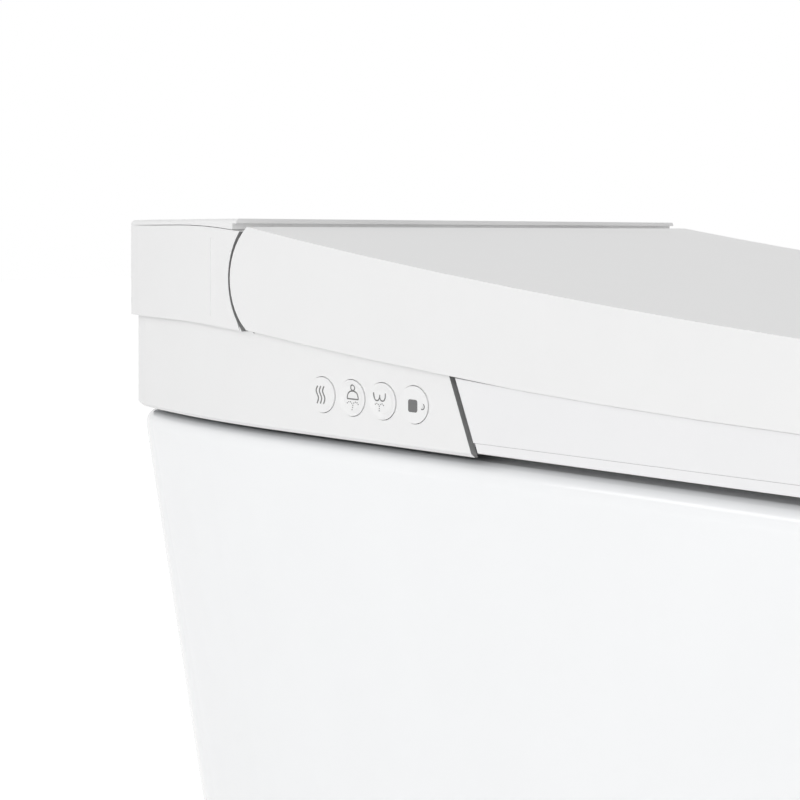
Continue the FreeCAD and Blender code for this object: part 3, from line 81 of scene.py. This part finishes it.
def linear(code):
    """A hex colour as linear light."""
    channels = [int(code[i:i + 2], 16) / 255 for i in (1, 3, 5)]
    return [c / 12.92 if c <= 0.04045 else ((c + 0.055) / 1.055) ** 2.4 for c in channels] + [1.0]


def add_node(tree, kind, settings=None, **links):
    """Add a node, give it its settings (attributes or input values), and link named inputs to outputs."""
    node = tree.nodes.new(kind)
    for key, value in (settings or {}).items():
        if key in node.inputs.keys() or isinstance(key, int):
            node.inputs[key].default_value = value
        else:
            setattr(node, key, value)
    for key, source in links.items():
        place = int(key[1:]) if key[0] == "i" and key[1:].isdigit() else key.replace("_", " ")
        tree.links.new(source, node.inputs[place])
    return node


finishes = {}


def finish(name, colour, roughness, shade=0.02, grain_mm=8.0, bump_mm=0.0, bump_grain_mm=1.0, polish=0.0,
           stretch=(1, 1, 1), **shader):
    """A Principled finish. shade: how far the colour drifts; grain: its size; bump: depth and size of the skin."""
    made = bpy.data.materials.new(name)
    made.use_nodes = True
    tree = made.node_tree
    base = tree.nodes["Principled BSDF"]
    place = add_node(tree, "ShaderNodeTexCoord")
    turned = add_node(tree, "ShaderNodeMapping", {"Scale": stretch}, Vector=place.outputs["Object"])
    drift = add_node(tree, "ShaderNodeTexNoise", {"Scale": 1000 / grain_mm, "Detail": 3.0},
                     Vector=turned.outputs["Vector"])
    ramp = add_node(tree, "ShaderNodeValToRGB", None, Fac=drift.outputs["Fac"])
    bright = linear(colour)
    ramp.color_ramp.elements[0].position = 0.3
    ramp.color_ramp.elements[0].color = [c * (1 - shade) for c in bright[:3]] + [1]
    ramp.color_ramp.elements[1].position = 0.7
    ramp.color_ramp.elements[1].color = bright
    tree.links.new(ramp.outputs["Color"], base.inputs["Base Color"])
    rough = add_node(tree, "ShaderNodeMapRange",
                     {"To Min": roughness * (1 - polish), "To Max": roughness * (1 + polish)},
                     Value=drift.outputs["Fac"])
    tree.links.new(rough.outputs["Result"], base.inputs["Roughness"])
    if bump_mm:
        skin = add_node(tree, "ShaderNodeTexNoise", {"Scale": 1000 / bump_grain_mm, "Detail": 2.0},
                        Vector=turned.outputs["Vector"])
        relief = add_node(tree, "ShaderNodeBump", {"Strength": 1.0, "Distance": bump_mm * MM},
                          Height=skin.outputs["Fac"])
        tree.links.new(relief.outputs["Normal"], base.inputs["Normal"])
    for key, value in shader.items():
        base.inputs[key.replace("_", " ")].default_value = value
    finishes[name] = made
    return made


# %% [markdown]
# ## White finishes
# Four whites meet on this object and they differ by their surface more than by their colour: a poured glaze over
# vitreous china, satin ABS covers, the harder and glossier seat, and matt mouldings inside.

# %% The whites
# Vitreous china: slip-cast, glazed and fired. The thick glaze pools a little, so reflections ripple very slightly.
finish("glazed_vitreous_china", "#F8F9FA", 0.09, shade=0.012, grain_mm=60, bump_mm=0.02, bump_grain_mm=22,
       polish=0.25, IOR=1.52, Coat_Weight=0.6, Coat_Roughness=0.03, Coat_IOR=1.5)
# Injection-moulded ABS with a satin tool finish: a soft sheen and a grain that is only just there.
finish("satin_abs_cover", "#F0F0F0", 0.36, shade=0.01, grain_mm=35, bump_mm=0.004, bump_grain_mm=0.9,
       polish=0.08, IOR=1.53)
# The seat's polypropylene is polished in the tool, because skin touches it and it has to wipe clean.
finish("polished_seat_pp", "#F0F0F1", 0.24, shade=0.01, grain_mm=35, bump_mm=0.003, bump_grain_mm=1.4,
       polish=0.1, IOR=1.49)
# Covers that only show with the lid up: plain tool finish, duller and a touch greyer.
finish("matt_abs_inner", "#E6E7E8", 0.55, shade=0.02, grain_mm=25, bump_mm=0.01, bump_grain_mm=0.8, IOR=1.53)
# Painted shade: the ends and hollows that face a gap are given a dull grey that stands in for the shade deep in those
# gaps. The real part is white there, and in the covers' white the gaps would read too light.
finish("painted_gap_shade", "#9A9A9A", 0.8, shade=0.04, grain_mm=6, bump_mm=0.02, bump_grain_mm=0.8, IOR=1.53)
# The push buttons are the same ABS as the covers, buffed by use.
finish("buffed_abs_button", "#F1F1F1", 0.3, shade=0.01, grain_mm=12, polish=0.15, IOR=1.53)
# Pad-printed ink: flat grey, thin, a little drier than the plastic round it.
finish("pad_printed_ink", "#727272", 0.5, shade=0.05, grain_mm=2.0, IOR=1.5)
print(len(finishes), "white and print finishes")

# %% [markdown]
# ## Working finishes
# The pieces inside and at the back are what such a unit is really made of: plated and stainless steel, brass,
# rubber, foil, acetal gears and a green circuit board.

# %% Metals, rubbers and working plastics
# Stainless tube, brushed along its length.
finish("brushed_stainless_steel", "#B9BBBD", 0.28, shade=0.12, grain_mm=0.8, bump_mm=0.004, bump_grain_mm=0.5,
       polish=0.3, stretch=(1, 0.05, 1), Metallic=1.0)
# Zinc-plated sheet and castings: a cool grey with faint spangles.
finish("zinc_plated_steel", "#A9ADB1", 0.38, shade=0.18, grain_mm=4.0, polish=0.35, Metallic=1.0)
# Turned brass, left bare where the hose nut goes on.
finish("machined_brass", "#C9A560", 0.25, shade=0.1, grain_mm=1.5, polish=0.3, stretch=(1, 6, 1), Metallic=1.0)
# Silicone and EPDM rubber.
finish("grey_silicone_rubber", "#8C8E90", 0.7, shade=0.06, grain_mm=6, bump_mm=0.01, bump_grain_mm=0.7, IOR=1.43)
finish("black_epdm_rubber", "#26272A", 0.62, shade=0.15, grain_mm=5, bump_mm=0.02, bump_grain_mm=0.6, IOR=1.5)
# Unpainted engineering plastics.
finish("black_nylon", "#202124", 0.45, shade=0.1, grain_mm=6, bump_mm=0.012, bump_grain_mm=0.7, IOR=1.53)
finish("grey_polypropylene", "#8A8C8F", 0.5, shade=0.06, grain_mm=14, bump_mm=0.012, bump_grain_mm=0.9, IOR=1.49)
finish("natural_acetal", "#E9E8E2", 0.35, shade=0.03, grain_mm=8, polish=0.1, IOR=1.48)
# Circuit board: green solder mask over a weave that just shows.
finish("green_solder_mask", "#1E6B45", 0.3, shade=0.25, grain_mm=1.2, bump_mm=0.01, bump_grain_mm=1.0, IOR=1.55)
# Heating foil: wrinkled aluminium.
finish("wrinkled_aluminium_foil", "#C9CBCD", 0.3, shade=0.15, grain_mm=9, bump_mm=0.15, bump_grain_mm=6, Metallic=1.0)
print(len(finishes), "finishes in all")

# %% A finish for every CAD node
worn_by = {
    "glazed_vitreous_china": "ceramic_body",
    "satin_abs_cover": "lower_housing rear_cap top_plate lid_outer_shell",
    "polished_seat_pp": "seat_upper_shell seat_lower_shell",
    "matt_abs_inner": "deck_cover lid_inner_shell nozzle_bay",
    "buffed_abs_button": "button_dryer button_front_wash button_rear_wash button_stop",
    "brushed_stainless_steel": "wash_wand unit_bolts skirt_bolts lid_hinge_shaft seat_hinge_shaft",
    "zinc_plated_steel": "hinge_post_right hinge_post_left wand_motor dryer_motor booster_pump service_plate",
    "machined_brass": "water_inlet",
    "grey_silicone_rubber": "deck_gaskets lid_bumpers seat_bumpers button_membrane cold_hose warm_hose",
    "black_epdm_rubber": "flush_hose",
    "black_nylon": "seat_thermostat dryer_impeller deodoriser power_supply mains_gland",
    "grey_polypropylene": "unit_base_plate lid_damper seat_damper button_frame wand_cradle dryer_fan_housing "
                          "dryer_duct water_filter water_heater booster_tank floor_brackets",
    "natural_acetal": "wand_tip wand_rack wand_pinion inlet_valve diverter_valve",
    "green_solder_mask": "button_board control_board",
    "wrinkled_aluminium_foil": "seat_heater",
}
dressed = set()


def wear(obj, name):
    """Give an object one finish all over."""
    obj.data.materials.clear()
    obj.data.materials.append(finishes[name])


for finish_name, members in worn_by.items():
    for member in members.split():
        wear(nodes[member], finish_name)
        dressed.add(member)
print("nodes without a finish:", sorted(set(nodes) - dressed))

# %% [markdown]
# ## Softer edges on the large mouldings
# No moulding or casting has a knife edge: the tool or the glaze rounds it, and the eye finds the edge by the
# bright line on that round. A CAD mesh is loose triangles, so a copy is merged first, flat triangles are joined,
# and then every edge that turns sharply is bevelled.

# %% Helpers for a new piece
def placed(name, data):
    """A new object in the scene, at the origin."""
    piece = bpy.data.objects.new(name, data)
    bpy.context.scene.collection.objects.link(piece)
    return piece


def smooth(mesh):
    """Shade every face of a mesh smoothly."""
    for face in mesh.polygons:
        face.use_smooth = True


def in_place_of(node, name, mesh):
    """Show a mesh instead of a CAD node, on the same body."""
    piece = placed(name, mesh)
    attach(piece, nodes[node]["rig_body"])
    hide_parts(node)
    return piece


# %% A copy with rounded edges
SHARP = math.radians(22)
CREASE = math.radians(32)
FLAT = math.radians(0.05)
MERGE_M = 2e-6
EVEN_WEIGHT = 80


def middle(edge):
    """An edge's middle in millimetres."""
    return (edge.verts[0].co + edge.verts[1].co) / 2 / MM


def refined(node, name, rounds, shift=None, clamp=True):
    """A merged copy of a CAD node with rounded edges.

    rounds: (width in mm, test of an edge's middle) pairs, done in turn. shift: a height to add to a vertex.
    """
    source = nodes[node]
    mesh = bpy.data.meshes.new(name)
    work = bmesh.new()
    work.from_mesh(source.data)
    bmesh.ops.remove_doubles(work, verts=work.verts, dist=MERGE_M)
    bmesh.ops.dissolve_limit(work, angle_limit=FLAT, verts=work.verts, edges=work.edges)
    if shift:
        for vert in work.verts:
            vert.co.z += shift(vert.co / MM) * MM
    done = work.edges.layers.int.new("rounded")
    count = 0
    for width_mm, test in rounds:
        sharp = [e for e in work.edges if not e[done] and len(e.link_faces) == 2
                 and e.calc_face_angle(0) > SHARP and test(middle(e))]
        made = bmesh.ops.bevel(work, geom=sharp, offset=width_mm * MM, offset_type="OFFSET", segments=4,
                               profile=0.5, affect="EDGES", clamp_overlap=clamp, material=-1)
        for face in made["faces"]:
            for edge in face.edges:
                edge[done] = 1
        count += len(sharp)
    for edge in work.edges:
        edge.smooth = len(edge.link_faces) == 2 and edge.calc_face_angle(0) < CREASE
    mesh.materials.append(source.data.materials[0])
    work.to_mesh(mesh)
    work.free()
    cad_normals = mesh.attributes.get("custom_normal")
    if cad_normals:
        mesh.attributes.remove(cad_normals)
    smooth(mesh)
    even = in_place_of(node, name, mesh).modifiers.new("even_shading", "WEIGHTED_NORMAL")
    even.keep_sharp = True
    even.weight = EVEN_WEIGHT
    print(name, len(mesh.polygons), "faces,", count, "edges rounded")


def repainted(node, name, second, test):
    """A copy of a CAD node whose faces wear a second finish where the test of middle and normal says so."""
    mesh = nodes[node].data.copy()
    mesh.name = name
    mesh.materials.append(finishes[second])
    for face in mesh.polygons:
        face.material_index = int(test(face.center / MM, face.normal))
    piece = in_place_of(node, name, mesh)
    print(name, sum(face.material_index for face in mesh.polygons), "faces in", second)
    return piece


# %% [markdown]
# The covers meet in narrow gaps, and a gap reads by the shade in it. The lid stands under a millimetre above the
# seat in the CAD, and the shown copy's lip is drawn down half a millimetre to match the picture, with only a small
# round on its edges. The housing's slanted end and the cap's hollow wear the dull grey, painted shade that makes
# both gaps read dark. These two copies keep the CAD's own triangles and normals, because only their finish changes.

# %% The covers and the seat
HINGE_Y, HINGE_Z = 193.2, 471.3
PARTING = 407.6
PARTING_GAP = 0.3
CAP_RECESS = 33.5
LID_REAR, LID_RUN, LIP_LOW, LIP_RISE = 212.0, 365.0, 424.4, 22.7
LIP_DROP = 0.5
TRAY_LIFT = 0.22


def lid_lip(place):
    """How far a point stands above the lid's lower edge: level in front, rising behind."""
    forward = LID_REAR - place.y
    return place.z - (LIP_LOW + LIP_RISE * max(0.0, (LID_RUN - forward) / LID_RUN) ** 2)


def from_hinge(place):
    """How far a point is from the hinge line."""
    return math.hypot(place.y - HINGE_Y, place.z - HINGE_Z)


refined("lid_outer_shell", "lid_moulding",
        [(0.25, lambda m: lid_lip(m) < 2), (0.9, lambda m: lid_lip(m) > 12)],
        shift=lambda p: -LIP_DROP if abs(lid_lip(p)) < 0.3 and p.y < 90 else 0.0)
# Painted shade: the cap's hollow round the hinge and the housing's slanted end wear the dull grey for the shade in
# their gaps.
cap = repainted("rear_cap", "cap_moulding", "painted_gap_shade",
                lambda c, n: abs(from_hinge(c) - CAP_RECESS) < 0.4)
repainted("lower_housing", "housing_moulding", "painted_gap_shade", lambda c, n: n.y < -0.8 and c.y < 95)
refined("seat_upper_shell", "seat_moulding",
        [(0.12, lambda m: m.z < PARTING + 1), (0.3, lambda m: abs(m.x) > 190 or m.y < -330),
         (0.8, lambda m: m.z > 412)])
refined("seat_lower_shell", "seat_tray_moulding",
        [(0.5, lambda m: m.z < 404), (0.12, lambda m: True)],
        shift=lambda p: TRAY_LIFT if abs(p.z - (PARTING - PARTING_GAP)) < 0.05 else 0.0)

# %% The end of the cap's rib
# The cap's inner rib ends half a millimetre outside its rounded side, so its end is drawn in behind the skin.
RIB_END, RIB_DRAWN_IN = 198.5, 197.7
RIB_FRONT, RIB_BACK = 237.9, 241.1
moved = 0
for vert in cap.data.vertices:
    if abs(abs(vert.co.x) / MM - RIB_END) < 0.01 and RIB_FRONT < vert.co.y / MM < RIB_BACK:
        vert.co.x = math.copysign(RIB_DRAWN_IN * MM, vert.co.x)
        moved += 1
print(moved, "points of the rib drawn in")

# %% [markdown]
# ## The glazed rim
# A cast rim has no edges at all: slip shrinks and glaze flows, so the side turns over into the top in one soft
# roll. The CAD rim turns in three flats. Rounding each of their edges as far as it goes joins them into that roll,
# which carries the thin white highlight under the seat.

# %% The china
RIM = 398.0
refined("ceramic_body", "glazed_body",
        [(2.3, lambda m: m.z > RIM - 8 and (abs(m.x) > 125 or m.y < -300 or m.y > 300))], clamp=False)

# %% [markdown]
# ## Small fasteners and the inlet's thread
# The rear plate and the covers are held by socket-head screws, and the water inlet carries a half-inch pipe thread.
# Its pitch is the real one; the ridge stands a little prouder than it would, so that it reads at this scale.

# %% Screw heads
HEAD_RADIUS = 3.0
HEAD_HEIGHT = 1.6


def screw_head(name, x, z, y):
    """A round head with a socket, on a face that looks to the wall."""
    work = bmesh.new()
    turn = Matrix.Translation((x * MM, (y + HEAD_HEIGHT / 2) * MM, z * MM)) @ Matrix.Rotation(-math.pi / 2, 4, "X")
    bmesh.ops.create_cone(work, cap_ends=True, segments=32, radius1=HEAD_RADIUS * MM, radius2=HEAD_RADIUS * MM,
                          depth=HEAD_HEIGHT * MM, matrix=turn)
    crown = max(work.faces, key=lambda f: f.calc_center_median().y)
    bmesh.ops.bevel(work, geom=list(crown.edges), offset=0.4 * MM, offset_type="OFFSET", segments=3, profile=0.5,
                    affect="EDGES", clamp_overlap=True, material=-1)
    crown = max(work.faces, key=lambda f: f.calc_center_median().y)
    bmesh.ops.inset_individual(work, faces=[crown], thickness=1.1 * MM, depth=0.0)
    bmesh.ops.inset_individual(work, faces=[crown], thickness=0.05 * MM, depth=-0.9 * MM)
    mesh = bpy.data.meshes.new(name)
    work.to_mesh(mesh)
    work.free()
    piece = placed(name, mesh)
    wear(piece, "brushed_stainless_steel")
    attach(piece, "base")


PLATE_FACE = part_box("service_plate")[1].y / MM
HOUSING_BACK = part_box("lower_housing")[1].y / MM
for side in (-1, 1):
    word = "right" if side < 0 else "left"
    screw_head("plate_screw_low_" + word, side * 54, 72, PLATE_FACE)
    screw_head("plate_screw_high_" + word, side * 54, 141, PLATE_FACE)
    screw_head("cover_screw_" + word, side * 118, 424, HOUSING_BACK)
print("six screw heads")

# %% The inlet's thread
PITCH = 1.814
THREAD_ROOT = 10.3
THREAD_CREST = 10.7
HALF_RIDGE = 0.7
inlet_low, inlet_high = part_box("water_inlet")
inlet_x = (inlet_low.x + inlet_high.x) / 2 / MM
inlet_z = (inlet_low.z + inlet_high.z) / 2 / MM
STEPS = 36
TURNS = 6
LEAD_IN = 1.2
ridge = bmesh.new()
start = inlet_high.y / MM - LEAD_IN
corners = [ridge.verts.new(Vector((inlet_x + radius, start + offset, inlet_z)) * MM)
           for radius, offset in ((THREAD_ROOT, HALF_RIDGE), (THREAD_CREST, 0.0), (THREAD_ROOT, -HALF_RIDGE))]
profile = [ridge.edges.new((corners[i], corners[i - 1])) for i in range(3)]
bmesh.ops.spin(ridge, geom=corners + profile, cent=Vector((inlet_x, 0, inlet_z)) * MM, axis=(0, 1, 0),
               dvec=(0, -PITCH / STEPS * MM, 0), angle=math.tau * TURNS, steps=TURNS * STEPS, use_merge=False,
               use_normal_flip=False, use_duplicate=False)
bmesh.ops.holes_fill(ridge, edges=[e for e in ridge.edges if len(e.link_faces) == 1], sides=3)
bmesh.ops.recalc_face_normals(ridge, faces=ridge.faces)
thread_mesh = bpy.data.meshes.new("inlet_thread")
ridge.to_mesh(thread_mesh)
ridge.free()
thread = placed("inlet_thread", thread_mesh)
wear(thread, "machined_brass")
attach(thread, "base")
print(TURNS, "turns of thread,", len(thread_mesh.polygons), "faces")

# %% [markdown]
# ## The marks on the buttons
# Each button carries a small printed pictogram, the plain kind used on such panels: wavy lines for warm air, a
# seated figure's outline and a fountain for the two washes, and a solid square for stop. A stroke is a curve with
# a round bevel, made a mesh and pressed flat, so the print stands less than a tenth of a millimetre proud. The two
# wash buttons are dished, and their print runs down the slope into the dish.

# %% Strokes on a button's face
INK_HALF = 0.3
INK_PROUD = 0.05


def stroke_mesh(strokes, dots=(), width=INK_HALF):
    """A mesh of round strokes in a flat (across, up) plane, in millimetres."""
    curve = bpy.data.curves.new("strokes", "CURVE")
    curve.dimensions = "3D"
    curve.bevel_depth = width
    curve.bevel_resolution = 2
    curve.use_fill_caps = True
    for points, closed in strokes:
        line = curve.splines.new("NURBS")
        line.points.add(len(points) - 1)
        for place, (across, up) in zip(line.points, points):
            place.co = (across, up, 0, 1)
        line.order_u = 3
        line.use_endpoint_u = not closed
        line.use_cyclic_u = closed
        line.resolution_u = 6
    holder = placed("strokes", curve)
    bpy.context.view_layer.update()
    mesh = bpy.data.meshes.new_from_object(holder.evaluated_get(bpy.context.evaluated_depsgraph_get()))
    bpy.data.objects.remove(holder)
    work = bmesh.new()
    work.from_mesh(mesh)
    for across, up in dots:
        bmesh.ops.create_uvsphere(work, u_segments=12, v_segments=6, radius=width,
                                  matrix=Matrix.Translation((across, up, 0)))
    work.to_mesh(mesh)
    work.free()
    return mesh


DISH_DEPTH = 0.7
DISH_RIM = 7.0
DISH_SLOPE = 2.0


def dished(across, up):
    """Depth of a wash button's dish: flat to 5 mm from the centre, then a slope up to the rim at 7 mm."""
    return DISH_DEPTH * min(1.0, max(0.0, (DISH_RIM - math.hypot(across, up)) / DISH_SLOPE))


def level(across, up):
    """A button with a plain face."""
    return 0.0


def on_button(mesh, node, name, body, relief=level):
    """Put flat artwork on a button's face: across runs forward along -Y, up is Z, and it follows the relief."""
    low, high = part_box(node)
    centre_y = (low.y + high.y) / 2
    centre_z = (low.z + high.z) / 2
    spread = max(abs(v.co.z) for v in mesh.vertices) or 1.0
    for v in mesh.vertices:
        across, up, out = v.co
        v.co = (face_x[node] + (relief(across, up) - out / spread * INK_PROUD) * MM,
                centre_y - across * MM, centre_z + up * MM)
    mesh.flip_normals()
    smooth(mesh)
    piece = placed(name, mesh)
    wear(piece, "pad_printed_ink")
    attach(piece, body)
    print(name, len(mesh.polygons), "faces")
    return piece


# The stop button's raised dot stands out of its face, so its face is taken to lie where the dryer button's does.
face_x = {n: min(v.co.x for v in nodes[n].data.vertices)
          for n in ("button_dryer", "button_front_wash", "button_rear_wash")}
face_x["button_stop"] = face_x["button_dryer"]

# %% Warm air: three waves
WAVE = [(0.35, 3.9), (-0.2, 3.1), (-0.75, 1.6), (0.1, 0.2), (1.0, -1.4), (0.55, -3.0), (0.0, -4.0)]
waves = [([(left + across, up) for across, up in WAVE], False) for left in (-2.9, -0.85, 1.2)]
on_button(stroke_mesh(waves, width=0.36), "button_dryer", "print_warm_air", "dryer_key")

# %% Front wash: a ring over a dome, and a fountain under it
dome = [(-3.0, -0.5), (-2.9, 1.0), (-1.9, 2.6), (0.4, 3.2), (2.7, 2.6), (3.7, 1.0), (3.8, -0.5)]
base = [(-3.0, -0.5), (0.4, -0.5), (3.8, -0.5)]
ring = [(0.4 + 1.25 * math.cos(a), 4.5 + 1.3 * math.sin(a)) for a in [math.tau * i / 10 for i in range(10)]]
fountain_arms = [(-2.9, -2.4), (-2.0, -1.85), (-1.0, -1.8), (-0.15, -2.4), (1.05, -2.2), (2.0, -1.75), (3.0, -1.95),
                 (3.7, -2.6)]
fountain_stem = [(0.45, -3.2), (0.3, -4.2), (0.05, -5.2)]
on_button(stroke_mesh([(dome, False), (base, False), (ring, True)], fountain_arms + fountain_stem),
          "button_front_wash", "print_front_wash", "front_wash_key", relief=dished)

# %% Rear wash: two round lobes, and a fountain under them
lobes = [(-5.0, 3.5), (-5.1, 1.8), (-4.4, 0.1), (-2.6, 0.0), (-1.75, 1.4), (-1.6, 2.9), (-1.75, 1.4), (-0.9, 0.0),
         (0.9, 0.1), (1.7, 1.8), (1.6, 3.5)]
arms = [(-4.3, -1.6), (-3.4, -1.15), (-2.5, -1.6), (-1.2, -1.5), (-0.3, -1.2), (0.5, -1.75)]
stem = [(-1.9, -2.3), (-1.95, -3.3), (-2.0, -4.3)]
on_button(stroke_mesh([(lobes, False)], arms + stem), "button_rear_wash", "print_rear_wash", "rear_wash_key",
          relief=dished)

# %% Stop: a solid square with rounded corners
square = bmesh.new()
bmesh.ops.create_cube(square, size=1.0,
                      matrix=Matrix.Translation((-0.3, -0.45, 0)) @ Matrix.Diagonal((5.2, 5.4, 0.2, 1)))
uprights = [e for e in square.edges if abs(e.verts[0].co.z - e.verts[1].co.z) > 0.1]
bmesh.ops.bevel(square, geom=uprights, offset=1.0, segments=5, profile=0.5, affect="EDGES", material=-1)
square_mesh = bpy.data.meshes.new("square")
square.to_mesh(square_mesh)
square.free()
stop_mark = on_button(square_mesh, "button_stop", "print_stop", "stop_key")
for face in stop_mark.data.polygons:
    face.use_smooth = False
# A crescent of ink beside the raised dot in front of the square is painted shade: it stands for the dot's shaded
# side.
dot_shade_crescent = [(5.0 + 1.25 * math.cos(a), -0.35 + 1.25 * math.sin(a))
            for a in [math.radians(d) for d in range(-120, 61, 30)]]
on_button(stroke_mesh([(dot_shade_crescent, False)], width=0.24), "button_stop", "painted_dot_shade", "stop_key")

# %% [markdown]
# ## The studio
# The photograph is a plain catalogue picture: white all round, soft light from the camera's side, little from
# above, so the lid's top is the darkest large face. The floor and the sky are white to the camera only.

# %% Floor
floor_mesh = bpy.data.meshes.new("studio_floor")
floor_work = bmesh.new()
bmesh.ops.create_grid(floor_work, x_segments=1, y_segments=1, size=12.0)
floor_work.to_mesh(floor_mesh)
floor_work.free()
floor = placed("studio_floor", floor_mesh)
paint = bpy.data.materials.new("pale_studio_floor")
paint.use_nodes = True
tree = paint.node_tree
surface = tree.nodes["Principled BSDF"]
surface.inputs["Base Color"].default_value = linear("#E8E8E8")
surface.inputs["Roughness"].default_value = 0.9
rays = add_node(tree, "ShaderNodeLightPath")
seen = add_node(tree, "ShaderNodeMath", {"operation": "MAXIMUM"}, i0=rays.outputs["Is Camera Ray"],
                i1=rays.outputs["Is Glossy Ray"])
share = add_node(tree, "ShaderNodeMath", {"operation": "MULTIPLY", 1: 0.5}, i0=seen.outputs[0])
lift = add_node(tree, "ShaderNodeEmission", {"Color": (1, 1, 1, 1)}, Strength=share.outputs[0])
both = add_node(tree, "ShaderNodeAddShader", None, i0=surface.outputs[0], i1=lift.outputs[0])
tree.links.new(both.outputs[0], tree.nodes["Material Output"].inputs["Surface"])
floor_mesh.materials.append(paint)
print("floor", floor.dimensions.x, "m wide")

# %% Sky
world = bpy.data.worlds.new("white_studio")
bpy.context.scene.world = world
world.use_nodes = True
sky = world.node_tree
soft = sky.nodes["Background"]
soft.inputs["Color"].default_value = (1, 1, 1, 1)
soft.inputs["Strength"].default_value = 0.61
clear = add_node(sky, "ShaderNodeBackground", {"Color": (1, 1, 1, 1), "Strength": 1.0})
sky_rays = add_node(sky, "ShaderNodeLightPath")
sky_seen = add_node(sky, "ShaderNodeMath", {"operation": "MAXIMUM"}, i0=sky_rays.outputs["Is Camera Ray"],
                    i1=sky_rays.outputs["Is Glossy Ray"])
sky_seen = add_node(sky, "ShaderNodeMath", {"operation": "MAXIMUM"}, i0=sky_seen.outputs[0],
                    i1=sky_rays.outputs["Is Transmission Ray"])
mixed = add_node(sky, "ShaderNodeMixShader", None, i0=sky_seen.outputs[0], i1=soft.outputs[0], i2=clear.outputs[0])
sky.links.new(mixed.outputs[0], sky.nodes["World Output"].inputs["Surface"])
print("sky at", round(soft.inputs["Strength"].default_value, 2))

# %% Lamps


def softbox(name, place, target, size, power):
    """A square soft lamp at a place, aimed at a target, in metres and watts."""
    lamp = bpy.data.lights.new(name, "AREA")
    lamp.shape = "SQUARE"
    lamp.size = size
    lamp.energy = power
    holder = placed(name, lamp)
    holder.location = place
    holder.rotation_mode = "QUATERNION"
    holder.rotation_quaternion = (Vector(target) - Vector(place)).to_track_quat("-Z", "Y")
    print(name, power, "W")


softbox("key_softbox", (-2.7, -0.7, 0.6), (0, 0, 0.4), 2.2, 35)
softbox("front_softbox", (0.6, -3.0, 1.4), (0, 0, 0.3), 2.0, 3)
softbox("rim_softbox", (-2.4, 1.4, 2.1), (-0.19, 0.0, 0.4), 0.9, 4)

# %% [markdown]
# ## The camera
# The photograph was taken from just above seat height, level, close to the sitter's right. Its upright edges stay
# parallel, so the camera is level and the picture is shifted down a little instead of being tilted.

# %% Camera
camera_data = bpy.data.cameras.new("catalogue_camera")
camera_data.sensor_width = 36.0
camera_data.lens = 62.64
camera_data.shift_y = -0.21
camera = placed("catalogue_camera", camera_data)
camera.location = (-0.640, -0.280, 0.4936)
camera.rotation_mode = "QUATERNION"
camera.rotation_quaternion = Vector((0.744, 0.668, 0.0)).to_track_quat("-Z", "Y")
bpy.context.scene.camera = camera
bpy.context.scene.view_settings.view_transform = "Standard"
print("camera at", [round(v, 3) for v in camera.location])
